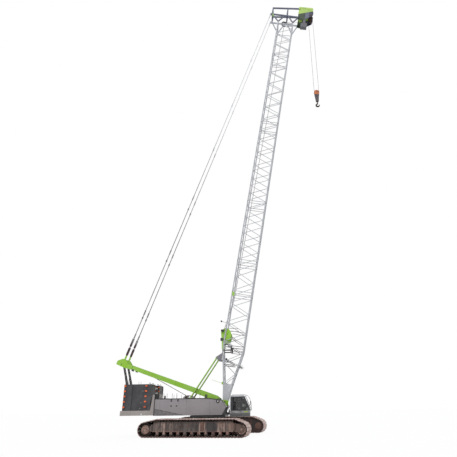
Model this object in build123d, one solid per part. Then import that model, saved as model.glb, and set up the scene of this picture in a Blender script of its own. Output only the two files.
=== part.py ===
from build123d import *
import os
from math import cos, hypot, radians, sin

# Crawler crane with a lattice boom, as a model at half size.
# Millimetres, +Z up, +X the way the boom points, -Y the cab side.
# The origin is on the slewing axis, at ground level.

os.makedirs("parts", exist_ok=True)

SEAT = 0.3                # left between pieces that rest on or turn in each other
BITE = 1.0                # how far fused pieces run into each other
PAST = 5.0                # how far a cut runs past the piece that it goes through
SHEAVE_SIDES = 24         # flat sides of drums and sheaves
PACK_SIDES = 16           # and of the small sheaves that stand side by side

# Crawlers, in their own frame, which is turned under the upper works
TRACK_TURN = -12.2        # degrees, as parked
TRACK_LENGTH = 5500.0     # over the shoes
TRACK_GAUGE = 3700.0      # centre to centre
TRACK_TOP = 830.0         # top run over the shoes
TRACK_END_RADIUS = 350.0  # over the shoes, round the end wheels
TRACK_BEND_RADIUS = 150.0
RISE_REAR = 620.0         # from the end wheels' shafts to the level top run
RISE_FRONT = 320.0
SHOE_WIDTH = 750.0
SHOE_PITCH = 160.0
SHOE_THICK = 50.0
SHOE_GAP_DEPTH = 18.0
SHOE_GAP_SHARE = 0.11     # part of the pitch that the gap takes at the outside
SHOE_GAP_FOOT = 0.6       # how wide it is at the inside, as a share of that
RUNNING_GAP = 0.5         # between the track and what it runs on
FRAME_WIDTH = 510.0
FRAME_TOP = 690.0
FRAME_BOTTOM = 250.0
FRAME_WHEEL_GAP = 310.0   # from the frame's end to the wheel's shaft
WHEEL_WIDTH = 300.0
WHEEL_SIDES = 24
WHEEL_SHAFT = 45.0        # radius
HUB_RADIUS = 200.0
HUB_THICK = 40.0
HUB_CAP = (0.55, 18.0)    # share of the hub's radius, and how far it stands out
WHEEL_CLEAR = 8.0         # between a wheel and the plates that hold its shaft
FORK_THICK = 30.0
FORK_HALF = 80.0
FORK_NOSE = (40.0, 60.0)  # how far the arm runs past the shaft, at its corners and middle
ARM_ROOT = (280.0, 530.0) # low and high ends of the arm where it leaves the frame
PLATE_LAP = 60.0          # how far the wheel plates run along the frame
IDLER_SHAPE = ((30.0, -120.0), (130.0, -60.0), (130.0, 80.0), (20.0, 190.0))   # corners from the shaft
IDLER_ROOT_DROP = 60.0
DRIVE_RADIUS = 170.0      # travel gearbox on the inner side
DRIVE_LENGTH = 240.0
ROLLER_RADIUS = 95.0
ROLLER_SIDES = 16
ROLLER_COUNT = 11
ROLLER_INSET = 340.0      # from the frame's end to the first roller
HANGER_HALF = 62.0
HANGER_THICK = 24.0
RIB_COUNT = 10
RIB_OUT = 28.0
RIB_HALF = 14.0
RIB_INSET = 180.0
RIB_ENDS = (20.0, 30.0)   # left free below and above a rib
FRAME_CUT = 80.0          # the slopes at the frame's ends, along and up
FRAME_LOW_CUT = 90.0
FRAME_HIGH_CUT = 130.0
FRAME_FRONT_CUT = 100.0
FRAME_REAR_CUT = 370.0
RAIL_HALF = 90.0          # the rail that the top run slides on
RAIL_ENDS = (40.0, 90.0)  # left free at its rear and front
RAIL_FOOT = 120.0         # how deep it reaches into the frame
GUARD_LOW = 110.0         # lower edge of the guard behind the rollers
GUARD_PAST = 10.0
GUARD_CUT = 50.0

# Carbody
CARBODY_HALF = 900.0
CARBODY_BOTTOM = 330.0
CARBODY_TOP = 760.0
BEAM_X = 780.0
BEAM_WIDTH = 420.0
BEAM_END_TOP = 600.0
BEAM_END_BOTTOM = 380.0
RING_RADIUS = 740.0
RING_STEP = 40.0          # the ring narrows by this at half its height
RING_SPLIT = 836.0
EYE_RADIUS = 35.0         # tow eye
EYE_Z = 520.0
EYE_THICK = 50.0
EYE_OUT = 90.0
EYE_WIDTH = 150.0
BEAM_DROP = 20.0          # the beams lie this far under the carbody's top

# Turntable and upper frame
SLAB_BOTTOM = 856.0
SLAB_FRONT = 1060.0
SLAB_REAR = -680.0
SLAB_HALF_WIDTH = 1290.0
DECK_BOTTOM = 940.0
DECK_THICK = 30.0
GIRDER_TOP = 1640.0
GIRDER_INNER = 487.0
GIRDER_OUTER = 627.0
GIRDER_REAR = -2480.0
GIRDER_PLATE = 35.0
GIRDER_NOSE = ((110.0, -160.0), (110.0, 40.0), (50.0, 115.0), (-60.0, 115.0))   # corners from the foot pin
GIRDER_FOOT = 90.0             # where its lower edge ends, behind the foot pin
DECK_FRONT = 100.0             # where the deck ends, behind the foot pin
CROSS_FRONT = (560.0, 760.0)   # the cross box under the mast's foot, rear and front
CROSS_TOP = 1480.0
REAR_PLATE = 40.0
SLEW_DRIVE = (400.0, 250.0)    # x and how far off the middle
SLEW_DRIVE_RADIUS = 110.0
SLEW_DRIVE_TOP = 1330.0
MAST_LUG_SHAPE = ((70.0, 20.0), (35.0, 60.0), (-35.0, 60.0), (-70.0, 20.0))   # corners from the mast's pin
MAST_LUG_GAP = 5.0             # between a lug and the mast's leg
SIDE_OUTER = 1375.0            # outer face of the side housings
SIDE_BOTTOM = 955.0
SIDE_TOP = 1735.0
SIDE_SLOPE = 200.0             # where the top starts to fall
SIDE_FRONT_TOP = (900.0, 1640.0)
SIDE_NOSE = (1105.0, 1313.0)
SIDE_FRONT = 890.0
SIDE_WALL = 14.0
RECESS_DEPTH = 6.0             # the wedge along the housing's rear foot
RECESS_TIP = -908.0
RECESS_TOP = 1270.0
LOUVRE_COUNT = 9
LOUVRE_PITCH = 55.0
LOUVRE_HEIGHT = 22.0
LOUVRE_DEPTH = 8.0
LOUVRE_LENGTH = 520.0
LOUVRE_AT = ((-1900.0, 1130.0), (-1200.0, 1130.0))
ENGINE = (-1900.0, -500.0)     # rear and front ends
ENGINE_IN = (113.0, 653.0)     # its sides, from the girder's outer face
ENGINE_RISE = 645.0            # its top, over the housing's foot

# Winches on the upper frame: x, z, flange radius, half length
LUFF_DRUM = (-960.0, 1530.0, 275.0, 330.0)
HOIST_DRUM = (-250.0, 1380.0, 270.0, 360.0)
DRUM_SHAFT = 50.0
DRUM_CORE_SHARE = 0.72
DRUM_FLANGE = 30.0
STAND_THICK = 33.0
STAND_GAP = 5.0
SHAFT_SHORT = 2.0              # a shaft ends this far inside its bearing plate
STAND_SPREAD = 0.8             # half its foot, as a share of the drum's radius
STAND_NECK = (90.0, 30.0)      # corners from the drum's shaft
STAND_HEAD = (50.0, 80.0)

# Counterweight
TRAY_REAR = -4130.0
TRAY_BOTTOM = 974.0
TRAY_TOP = 1200.0
STACK_REAR = -4055.0
STACK_FRONT = -2680.0
STACK_INNER = 465.0
STACK_EDGE = 45.0              # the slabs' outer faces inside the tray's
SLAB_COUNT = 5
SLAB_HEIGHT = 246.0
GROOVE_X = -3612.0
GROOVE_HALF = 32.0
GROOVE_DEPTH = 12.0
LUG_X = (-4000.0, -2932.0)
LUG_HALF = 50.0
LUG_RISE = (130.0, 205.0)
WING_TOP = 1930.0
WING_THICK = 40.0
WING_REACH = (20.0, 120.0)     # its rear edge, from the stack's front, low and high

# Boom: its own frame runs up from the foot pin, with forward to the front
BOOM_FOOT = (970.0, 1525.0)    # x and z of the foot pins
BOOM_LEAN = 8.87               # degrees off the vertical
CHORD_SPACING = 1115.0         # centre to centre, both ways
CHORD_WIDTH = 70.0             # across the flats of a chord's eight sides
LACING = 28.0                  # side of the lacing's square
PANEL = 550.0                  # rise of one diagonal
LACING_START = 80.0            # from a section's end to its end frame
JOINT_REACH = 45.0             # from a chord's end to the joint's plane
TONGUE_THICK = 26.0
TONGUE_HALF = 32.0
FORK_PLATE = 14.0
FOOT_RADIUS = 105.0
FOOT_THICK = 60.0
FOOT_PIN = 42.0
FOOT_PIN_IN = 20.0             # how far the pin runs into the foot and the girder's plates
FOOT_PLATE_TOP = 890.0
FOOT_PLATE_HALF = 245.0
TAPER_TOP = 2650.0
BUTT_TOP = 5800.0
BUTT_LAP = 40.0                # how far the chords run down the foot plates
BUTT_FRAME = 20.0              # the lowest end frame, over the chords' lower ends
SECTIONS = (                   # name and top end
    ("boom_insert_1", 7700.0),
    ("boom_insert_2", 11600.0),
    ("boom_insert_3", 17650.0),
    ("boom_insert_4", 23700.0),
    ("boom_top", 27000.0),
)
BOOM_TOP = SECTIONS[-1][1]

# Winch, rope guide and backstop brackets on the foot section
BOOM_DRUM = (-540.0, 3500.0, 250.0, 490.0)
HANGER_IN = 57.5               # how far the drum hangers reach in from the rear chords
HANGER_LAP = (12.0, 18.0)      # how far they run past a chord's middle, rear and front
HANGER_RISES = (200.0, 300.0, 340.0)   # inner edge, rear edge and its corners, from the drum's shaft
HANGER_HEAD = (60.0, 70.0)     # behind the shaft, and half its height there
DRUM_CLEAR = 20.0              # between the boom's rear lacing and the drum
GUIDE_ROLLER = (-360.0, 2080.0)
GUIDE_BRACE_END = (545.0, 1890.0)
GUIDE_RADIUS = 45.0
GUIDE_HALF = 200.0
GUIDE_FRAME = (-180.0, 2760.0, 3020.0)   # how far forward, low and high ends
GUIDE_ROOT = (-90.0, 20.0)     # where a brace starts, from the roller
STOP_UPPER = (-800.0, 2100.0)  # pin of the backstops
STOP_LOWER = (-849.0, 1700.0)  # in the crane's frame, as parked
STOP_RADIUS = 37.0
STOP_PIN = 30.0
STOP_PLATE = 12.0
SADDLE_HALF = 60.0
SADDLE_SINK = 25.0             # into the girders
STOP_GAP = 5.0                 # between a backstop and its bracket's plates
STOP_EYE = 12.0                # the eye stands this far out of the strut
STOP_ARM = ((-50.0, -30.0), (-50.0, 50.0), (40.0, -50.0))   # the bracket's tip, from the pin
STOP_ROOT = ((-520.0, 330.0), (-440.0, -60.0))               # its root: forward, and up from the pin
STOP_BACK = ((-570.0, 300.0), (-520.0, -30.0))               # the root's rear corners

# Boom head
HEAD_HALF_WIDTH = 400.0
HEAD_BEAM = 90.0
HEAD_CROSS = 70.0
HEAD_REAR = -1120.0
HEAD_FRONT = 1000.0
HEAD_END_IN = 40.0                 # the lower beam and the end crosses stop short by this
HEAD_POST = 30.0
HEAD_TOP_REAR = BOOM_TOP + 1612.0
HEAD_TOP_FRONT = BOOM_TOP + 1809.0
HEAD_LOW_REAR = BOOM_TOP + 959.0
HEAD_LOW_FRONT = BOOM_TOP + 877.0
HEAD_STRUT_TIPS = ((-1080.0, -120.0), (120.0, 950.0))   # where the struts of the rear and front chords end
LOAD_SHAFT = (1863.0, BOOM_TOP + 1240.0)
CHEEK_THICK = 30.0
CHEEK_REAR = 880.0
CHEEK_FRONT = 1960.0
CHEEK_LOW = ((880.0, -540.0), (1300.0, -600.0), (2000.0, -60.0), (2040.0, 180.0))   # up from the shaft
CHEEK_RISE = (620.0, 560.0)        # top edge over the shaft, rear and front
COVER_RISE = 130.0
COVER_OUT = 30.0
COVER_NOSE = (30.0, 60.0)
LIMIT_BOX = (1150.0, 1500.0)       # rear and front ends
LIMIT_BOX_RISE = (420.0, 690.0)    # over the boom's top
LIMIT_BOX_HALF = 110.0
LIMIT_BAR_IN = 150.0               # the bar it hangs on, from its rear end
SHEAVE_RADIUS = 185.0
SHEAVE_HALF = 26.0
SHEAVE_COUNT = 3
SHEAVE_PITCH = 130.0
ROPE_CIRCLE = 166.0
ROPE_RADIUS = 8.0
SHEAVE_SHAFT = 45.0
SHAFT_END = 15.0               # the sheaves' shaft stands out of the cheeks by this

# Pendants and mast
PENDANT_HEAD = (-1240.0, BOOM_TOP + 960.0)
PENDANT_WIDTH = 36.0
PENDANT_PIN = 25.0
PENDANT_LINK = 58.0
PENDANT_LINK_HALF = 130.0
PENDANT_END = 64.0             # width of the thicker end pieces
PENDANT_END_PAST = 40.0        # beyond the pins
PENDANT_ENDS = (560.0, 400.0)  # their lengths at the mast and at the boom head
PENDANT_PIN_OUT = 62.0         # half the upper pin's length
PENDANT_LUG = 20.0
PENDANT_LUGS = (320.0, 420.0)  # how far out each lug starts
PENDANT_LUG_ROOT = (-60.0, 80.0)
PENDANT_LUG_NOSE = 55.0
PENDANT_JOINTS = (0.05, 0.10, 0.24, 0.38, 0.52, 0.66, 0.82)   # shares of the length
MAST_FOOT = (655.0, 1690.0)
MAST_RISE = 19.2               # degrees off the level
MAST_LENGTH = 5500.0           # foot pin to pendant pin
MAST_PIN = 35.0
MAST_PIN_UP = 200.0
MAST_LEG_Y = 380.0             # also the pendants'
MAST_LEG_WIDTH = 110.0
MAST_FOOT_DEPTH = 260.0
MAST_TIP_DEPTH = 200.0
MAST_CHEEK = 25.0
MAST_CROSS_FOOT = 700.0        # the first cross beam, from the foot pin
MAST_CROSSES = (0.42, 0.71, 0.93)   # the next ones, as shares of the mast
MAST_CROSS_END = 270.0         # the last one, past the pendant pin
MAST_CROSS_HALF = (50.0, 80.0) # half its length along the mast and half its height
MAST_HEEL = 60.0               # round the foot pin
MAST_FULL = 200.0              # from the foot pin to the leg's full depth
MAST_HEAD_REAR = ((-330.0, -110.0), (-330.0, 80.0))   # the cheek's corners from the pendant pin's line
MAST_HEAD_LOW = ((550.0, -100.0), (150.0, -150.0))
MAST_HEAD_HIGH = ((-100.0, 60.0), (60.0, 60.0))       # over the pendant pin
MAST_HEAD_FRONT = ((270.0, 105.0), (550.0, 95.0))
MAST_REST = (45.0, 30.0, 90.0) # half its length above and below, and its drop
MAST_REST_IN = 20.0
MAST_REST_AT = 700.0
MAST_LUG = 30.0
MAST_SHEAVE_PAST = 60.0        # beyond the pendant pin
MAST_SHEAVE_DROP = 30.0
MAST_SHEAVE_RADIUS = 105.0
MAST_SHEAVE_PIN = 30.0

# Luffing tackle between the tray and the mast
LUFF_BLOCK = (-4000.0, 1330.0)
LUFF_BLOCK_RADIUS = 90.0
LUFF_BLOCK_PIN = 30.0
LUFF_BLOCK_GAP = 3.0           # between the block and its cheeks
LUFF_BLOCK_SIDES = 12
LUFF_CHEEK_FOOT = (-115.0, 140.0)
LUFF_CHEEK_HEAD = 60.0
LUFF_GROOVE_SIDE = 0.5
LUFF_ROPES = (352.0, 380.0, 408.0)   # how far out each rope of a bundle lies
LUFF_ROPE_RADIUS = 9.0
LUFF_CHEEKS = (305.0, 433.0)
LUFF_CHEEK_THICK = 22.0

# Hook block and hook
HOOK_SHEAVE_Z = 21960.0
BLOCK_RADIUS = 186.0
BLOCK_HALF = 70.0
BLOCK_PLATE = 40.0
BLOCK_WAIST = (150.0, 250.0)   # half width, and how far below the sheave
BLOCK_FOOT = (92.0, 800.0)
HOOK_SHANK = 40.0
HOOK_DROP = 330.0              # from the block's foot to the hook's middle
HOOK_OUTER = 150.0
HOOK_THROAT = 76.0
HOOK_THICK = 76.0
HOOK_SHEAVE_PIN = 30.0
HOOK_EYE = (12.0, 14.0)        # the throat's middle, from the ring's
HOOK_MOUTH = ((20.0, 30.0), (250.0, 20.0), (250.0, 190.0), (58.0, 190.0))   # from the ring's middle
HOOK_CHAMFER = 8.0
HOOK_NECK = 40.0               # the shank runs into the ring by this
BLOCK_LAP = 50.0               # the cheeks reach this far down the block's core

# Cab
CAB_REAR = 1300.0
CAB_FLOOR = 875.0
CAB_ROOF = 1836.0
CAB_NEAR = -1600.0
CAB_FAR = -1050.0
CAB_WALL = 25.0
CAB_NOSE = (2312.0, 1162.0)
CAB_FOOT = 2300.0
CAB_BROW = (2030.0, 1790.0)
CAB_ROOF_FRONT = 1980.0
DOOR = (1400.0, 1850.0, 930.0, 1780.0)
DOOR_GAP = 4.0
DOOR_FRAME = 46.0
DOOR_SILL = 1180.0
HINGE_OUT = 9.0                # the hinge's axis outside the wall
HINGE_RADIUS = 8.0
HINGE_HALF = 30.0
HINGE_HEIGHTS = (1080.0, 1640.0)
SIDE_WINDOW = ((1880.0, 1170.0), (2240.0, 1170.0), (2010.0, 1730.0), (1880.0, 1730.0))
PANE = 6.0
PANE_LAP = 10.0
WINDSCREEN = (0.06, 0.95)      # shares of the slope, low and high
CAB_FEET = (1640.0, 1995.0)
CAB_FOOT_DROP = 15.0           # short enough to clear the tracks as the crane slews
GUARD_OUT = 45.0               # a bar guard stands this far off the windscreen
GUARD_BAR = 14.0
GUARD_SIDES = (6.0, 20.0)      # in from the near wall and from the far one
GUARD_ENDS = (-0.05, 1.0)      # shares of the windscreen's slope
GUARD_FEET = (0.0, 0.98)
GUARD_FOOT_HALF = 0.02
GUARD_RUNGS = (0.3, 0.65)
GUARD_RUNG_HALF = 0.008
GUARD_RUNG = 10.0
CAB_FOOT_SIZE = (50.0, 70.0)   # along and across
CAB_FOOT_IN = 40.0
CAB_TOP_CUT = 30.0
WINDSCREEN_IN = 50.0           # the opening's sides, in from the walls
WINDSCREEN_LAP = 0.015
REAR_WINDOW = (1250.0, 1750.0, 60.0)   # low, high, and its sides in from the walls
FAR_WINDOW = (20.0, 270.0, 50.0)       # from the door's front, foot and top
HINGE_LEAF = (24.0, 6.0)       # the fixed leaf, from the door's rear edge
HINGE_EAR = 14.0               # its knuckles' height
HINGE_STRAP = 30.0
HINGE_STRAP_HALF = 3.0
OPERATOR_Y = (-1450.0, -1200.0)
CUSHION = (1480.0, 1760.0, 1050.0, 1170.0)
BACKREST = (1470.0, 1560.0, 1150.0, 1560.0)
PEDESTAL = (1540.0, 1700.0, 50.0)      # rear, front, and in from the cushion's sides
BRACKET_GAP = 3.5              # ahead of the side housing
BRACKET_LOW = 960.0
BRACKET_SHAPE = ((1300.0, 1200.0), (1240.0, 1200.0), (1230.0, 1060.0), (1130.0, 1050.0))
BRACKET_PLATE = 35.0
BRACKET_SIDES = (230.0, 50.0)  # in from the near wall and from the far one
BRACKET_BAR = (1130.0, 1220.0, 970.0, 1040.0)


def box(x0, x1, y0, y1, z0, z1):
    return Pos((x0 + x1) / 2, (y0 + y1) / 2, (z0 + z1) / 2) * Box(x1 - x0, y1 - y0, z1 - z0)


def plate(points, y0, y1):
    """A plate standing along X, drawn in x and z."""
    face = make_face(Polyline(*points, close=True))
    return extrude(Plane.XZ.offset(-y1) * face, y1 - y0)


def across(points, x0, x1):
    """A plate standing along Y, drawn in y and z."""
    face = make_face(Polyline(*points, close=True))
    return extrude(Plane.YZ.offset(x0) * face, x1 - x0)


def hollow(points, wall, y0, y1):
    """A closed box standing along X, with walls of even thickness."""
    outer = make_face(Polyline(*points, close=True))
    inner = offset(outer, -wall, kind=Kind.INTERSECTION)
    room = extrude(Plane.XZ.offset(wall - y1) * inner, y1 - y0 - 2 * wall)
    return extrude(Plane.XZ.offset(-y1) * outer, y1 - y0) - room


def disc(x, z, radius, y0, y1):
    """A round piece whose axis lies along Y."""
    return Plane.XZ.offset(-y1) * Pos(x, z, (y1 - y0) / 2) * Cylinder(radius, y1 - y0)


def flat_sided(x, z, radius, sides, y0, y1):
    """Like a disc, with flat sides that lie inside the radius."""
    face = Pos(x, z) * RegularPolygon(radius, sides)
    return extrude(Plane.XZ.offset(-y1) * face, y1 - y0)


def tube(p, q, width, sides=8):
    """A straight rod with flat sides, given across the flats; one side faces Y."""
    along = Plane(origin=Vector(*p), x_dir=Vector(0, 1, 0), z_dir=Vector(*q) - Vector(*p))
    face = RegularPolygon(width / 2, sides, major_radius=False, rotation=180 / sides)
    return extrude(along * face, (Vector(*q) - Vector(*p)).length)


def bar(p, q, size, side=(0, 1, 0)):
    """A square bar between two points."""
    along = Plane(origin=Vector(*p), x_dir=Vector(*side), z_dir=Vector(*q) - Vector(*p))
    return extrude(along * Rectangle(size, size), (Vector(*q) - Vector(*p)).length)


def both(shape):
    """A piece and its mirror image on the other side."""
    return [shape, mirror(shape, Plane.XZ)]


def joined(pieces):
    return pieces[0].fuse(*pieces[1:])


def solids(pieces):
    return Compound(children=list(pieces))


def keep(name, shape):
    export_step(shape, f"parts/{name}.step")


def turned(shape):
    """From the crawlers' own frame to the crane's."""
    return Rot(0, 0, TRACK_TURN) * shape


def on_boom(shape):
    return Pos(BOOM_FOOT[0], 0, BOOM_FOOT[1]) * Rot(0, BOOM_LEAN, 0) * shape


def boom_point(forward, up):
    a = radians(BOOM_LEAN)
    return (BOOM_FOOT[0] + forward * cos(a) + up * sin(a), BOOM_FOOT[1] + up * cos(a) - forward * sin(a))


def on_mast(shape):
    """From a mast lying level to the rear, its foot pin at the origin."""
    return Pos(MAST_FOOT[0], 0, MAST_FOOT[1]) * Rot(0, MAST_RISE, 0) * shape


def mast_point(along, up):
    a = radians(MAST_RISE)
    return (MAST_FOOT[0] - along * cos(a) + up * sin(a), MAST_FOOT[1] + along * sin(a) + up * cos(a))


# Crawlers

def wheel_x():
    return TRACK_LENGTH / 2 - TRACK_END_RADIUS


def frame_end():
    return wheel_x() - FRAME_WHEEL_GAP


def belt(inset):
    """The run of the track as a flat face, drawn that far inside the shoes."""
    bend = TRACK_TOP - TRACK_BEND_RADIUS
    circles = (
        (-wheel_x(), TRACK_END_RADIUS, TRACK_END_RADIUS),
        (wheel_x(), TRACK_END_RADIUS, TRACK_END_RADIUS),
        (RISE_REAR - wheel_x(), bend, TRACK_BEND_RADIUS),
        (wheel_x() - RISE_FRONT, bend, TRACK_BEND_RADIUS),
    )
    edges = [(Pos(x, z) * Circle(radius - inset)).edge() for x, z, radius in circles]
    return make_hull(edges)


def track():
    outline = belt(0).wire()
    count = round(outline.length / SHOE_PITCH)
    gap = SHOE_GAP_SHARE / 2
    deep = gap * SHOE_GAP_FOOT
    corners = ((deep, SHOE_GAP_DEPTH), (gap, 0), (1 - gap, 0), (1 - deep, SHOE_GAP_DEPTH))
    points = []
    middle = Vector(0, TRACK_TOP / 2)
    for shoe in range(count):
        for share, depth in corners:
            at = (shoe + share) / count
            here = outline.position_at(at)
            way = outline.tangent_at(at)
            inward = Vector(-way.Y, way.X)
            if inward.dot(middle - here) < 0:
                inward = inward * -1
            points.append(here + inward * depth)
    face = make_face(Polyline(*points, close=True)) - belt(SHOE_THICK)
    return extrude(Plane.XZ.offset(-SHOE_WIDTH / 2) * face, SHOE_WIDTH)


def spread(count, reach):
    """That many places, evenly from -reach to reach."""
    return [reach * (2 * k / (count - 1) - 1) for k in range(count)]


def roller_height():
    return SHOE_THICK + ROLLER_RADIUS + RUNNING_GAP


def drive_arm(inner):
    """The slim arm that holds the drive wheel's shaft at the rear."""
    x = -wheel_x()
    z = TRACK_END_RADIUS
    root = PLATE_LAP - frame_end()
    corner, nose = FORK_NOSE
    low, high = ARM_ROOT
    outline = ((root, low), (x + corner, z - FORK_HALF), (x - corner, z - FORK_HALF), (x - nose, z),
               (x - corner, z + FORK_HALF), (x + corner, z + FORK_HALF), (root, high))
    return plate(outline, inner, inner + FORK_THICK)


def idler_plate(inner):
    """The deep plate that hides most of the idler at the front."""
    root = frame_end() - PLATE_LAP
    tip = [(wheel_x() + dx, TRACK_END_RADIUS + dz) for dx, dz in IDLER_SHAPE]
    outline = ((root, FRAME_BOTTOM), *tip, (root, FRAME_TOP - IDLER_ROOT_DROP))
    return plate(outline, inner, inner + FORK_THICK)


def slide_rail():
    """The rail under the top run, cut from the run's own inner outline."""
    rear, front = RAIL_ENDS
    low = FRAME_TOP - RAIL_FOOT
    length = 2 * frame_end() - rear - front
    window = Pos((rear - front) / 2, low + TRACK_TOP / 2) * Rectangle(length, TRACK_TOP)
    face = belt(SHOE_THICK + RUNNING_GAP) & window
    return extrude(Plane.XZ.offset(-RAIL_HALF) * face, 2 * RAIL_HALF)


def roller_guard(inner):
    """The plate that closes the rollers' inner side."""
    reach = frame_end() + GUARD_PAST
    outline = ((-reach, FRAME_BOTTOM + BITE), (GUARD_CUT - reach, GUARD_LOW), (reach - GUARD_CUT, GUARD_LOW),
               (reach, FRAME_BOTTOM + BITE))
    return plate(outline, inner, inner + HANGER_THICK)


def crawler_frame():
    """Box beam with wheel plates, ribs, roller hangers, guard and rail; the track's outer side is at -y."""
    half = FRAME_WIDTH / 2
    end = frame_end()
    low = FRAME_BOTTOM + FRAME_LOW_CUT
    high = FRAME_TOP - FRAME_HIGH_CUT
    profile = ((FRAME_CUT - end, FRAME_BOTTOM), (end - FRAME_CUT, FRAME_BOTTOM), (end, low), (end, high),
               (end - FRAME_FRONT_CUT, FRAME_TOP), (FRAME_REAR_CUT - end, FRAME_TOP),
               (-end, high), (-end, low))
    inner = WHEEL_WIDTH / 2 + WHEEL_CLEAR
    pieces = [plate(profile, -half, half), slide_rail(), roller_guard(half - HANGER_THICK)]
    pieces += both(drive_arm(inner)) + both(idler_plate(inner))
    below, above = RIB_ENDS
    for x in spread(RIB_COUNT, end - RIB_INSET):
        pieces.append(box(x - RIB_HALF, x + RIB_HALF, -half - RIB_OUT, BITE - half,
                          FRAME_BOTTOM + below, FRAME_TOP - above))
    for x in spread(ROLLER_COUNT, end - ROLLER_INSET):
        pieces.append(box(x - HANGER_HALF, x + HANGER_HALF, -half, HANGER_THICK - half,
                          roller_height(), FRAME_BOTTOM + BITE))
    frame = joined(pieces)
    for x in (-wheel_x(), wheel_x()):
        frame -= disc(x, TRACK_END_RADIUS, WHEEL_SHAFT + SEAT, -half, half)
    face = inner + FORK_THICK
    ends = (face - BITE, face + DRIVE_LENGTH)
    return frame + flat_sided(-wheel_x(), TRACK_END_RADIUS, DRIVE_RADIUS, WHEEL_SIDES, *ends)


def roller(x):
    reach = FRAME_WIDTH / 2 - HANGER_THICK - SEAT
    return flat_sided(x, roller_height(), ROLLER_RADIUS, ROLLER_SIDES, -reach, reach)


def end_wheel(x):
    """A wheel whose shaft ends inside the plates on both sides."""
    tread = TRACK_END_RADIUS - SHOE_THICK - RUNNING_GAP
    half = WHEEL_WIDTH / 2
    reach = half + WHEEL_CLEAR + FORK_THICK
    wheel = flat_sided(x, TRACK_END_RADIUS, tread, WHEEL_SIDES, -half, half)
    return wheel + disc(x, TRACK_END_RADIUS, WHEEL_SHAFT, -reach, reach - SHAFT_SHORT)


def hub(x):
    """The drive's cover on the outer side, which shows as a large round plate."""
    z = TRACK_END_RADIUS
    face = -WHEEL_WIDTH / 2 - WHEEL_CLEAR - FORK_THICK
    outside = face - HUB_THICK
    share, out = HUB_CAP
    cover = flat_sided(x, z, HUB_RADIUS, WHEEL_SIDES, outside, face - SEAT)
    cap = flat_sided(x, z, HUB_RADIUS * share, WHEEL_SIDES, outside - out, outside + BITE)
    return cover + cap + disc(x, z, WHEEL_SHAFT, face - BITE, face + BITE)


def crawlers():
    loop = track()
    frame = crawler_frame()
    rollers = solids(roller(x) for x in spread(ROLLER_COUNT, frame_end() - ROLLER_INSET))
    wheels = solids([end_wheel(wheel_x()), end_wheel(-wheel_x()) + hub(-wheel_x())])
    for name, side in (("right", -1), ("left", 1)):
        place = Pos(0, side * TRACK_GAUGE / 2, 0)
        for node, shape in (("crawler_frame", frame), ("track_rollers", rollers), ("end_wheels", wheels)):
            keep(f"{node}_{name}", turned(place * (shape if side < 0 else mirror(shape, Plane.XZ))))
        keep(f"track_{name}", turned(place * loop))


def tow_eye(side):
    """A lug with an upright hole, at the front or the rear."""
    root = side * (BEAM_X + BEAM_WIDTH / 2 - PAST)
    tip = side * (BEAM_X + BEAM_WIDTH / 2 + EYE_OUT)
    eye = Pos((root + tip) / 2, 0, EYE_Z) * Box(abs(tip - root), EYE_WIDTH, EYE_THICK)
    eye += Pos(tip, 0, EYE_Z) * Cylinder(EYE_WIDTH / 2, EYE_THICK)
    return eye - Pos(tip, 0, EYE_Z) * Cylinder(EYE_RADIUS, EYE_THICK + 2 * PAST)


def carbody():
    reach = TRACK_GAUGE / 2 - FRAME_WIDTH / 2
    top = CARBODY_TOP - BEAM_DROP
    beam = ((-reach, BEAM_END_BOTTOM), (-CARBODY_HALF, CARBODY_BOTTOM), (CARBODY_HALF, CARBODY_BOTTOM),
            (reach, BEAM_END_BOTTOM), (reach, BEAM_END_TOP), (CARBODY_HALF, top), (-CARBODY_HALF, top),
            (-reach, BEAM_END_TOP))
    pieces = [box(-BEAM_X, BEAM_X, -CARBODY_HALF, CARBODY_HALF, CARBODY_BOTTOM, CARBODY_TOP)]
    pieces += [across(beam, x - BEAM_WIDTH / 2, x + BEAM_WIDTH / 2) for x in (-BEAM_X, BEAM_X)]
    step = (CARBODY_TOP + RING_SPLIT) / 2
    pieces.append(Pos(0, 0, (CARBODY_TOP + step) / 2) * Cylinder(RING_RADIUS, step - CARBODY_TOP))
    pieces.append(Pos(0, 0, (step + RING_SPLIT) / 2) * Cylinder(RING_RADIUS - RING_STEP, RING_SPLIT - step))
    pieces += [tow_eye(-1), tow_eye(1)]
    keep("carbody", turned(joined(pieces)))


# Upper works

def turntable():
    slab = box(SLAB_REAR, SLAB_FRONT, -SLAB_HALF_WIDTH, SLAB_HALF_WIDTH, SLAB_BOTTOM, DECK_BOTTOM)
    low = RING_SPLIT + SEAT
    high = SLAB_BOTTOM + BITE
    keep("turntable", slab + Pos(0, 0, (low + high) / 2) * Cylinder(RING_RADIUS - RING_STEP, high - low))


def girder_outline():
    x, z = BOOM_FOOT
    nose = [(x + dx, z + dz) for dx, dz in GIRDER_NOSE]
    return ((GIRDER_REAR, DECK_BOTTOM), (x - GIRDER_FOOT, DECK_BOTTOM), *nose, (GIRDER_REAR, GIRDER_TOP))


def stop_direction():
    """The way a backstop points, as x and z of length one."""
    x, z = boom_point(*STOP_UPPER)
    length = hypot(x - STOP_LOWER[0], z - STOP_LOWER[1])
    return (x - STOP_LOWER[0]) / length, (z - STOP_LOWER[1]) / length


def saddle(y):
    """The seat on the girders that a backstop's foot rests on."""
    dx, dz = stop_direction()
    x = STOP_LOWER[0] - dx * SEAT
    z = STOP_LOWER[1] - dz * SEAT
    half = SADDLE_HALF
    low = GIRDER_TOP - SADDLE_SINK
    outline = ((x - 2 * half, low), (x + 2 * half, low),
               (x + dz * half, z - dx * half), (x - dz * half, z + dx * half))
    return plate(outline, y - half, y + half)


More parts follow.
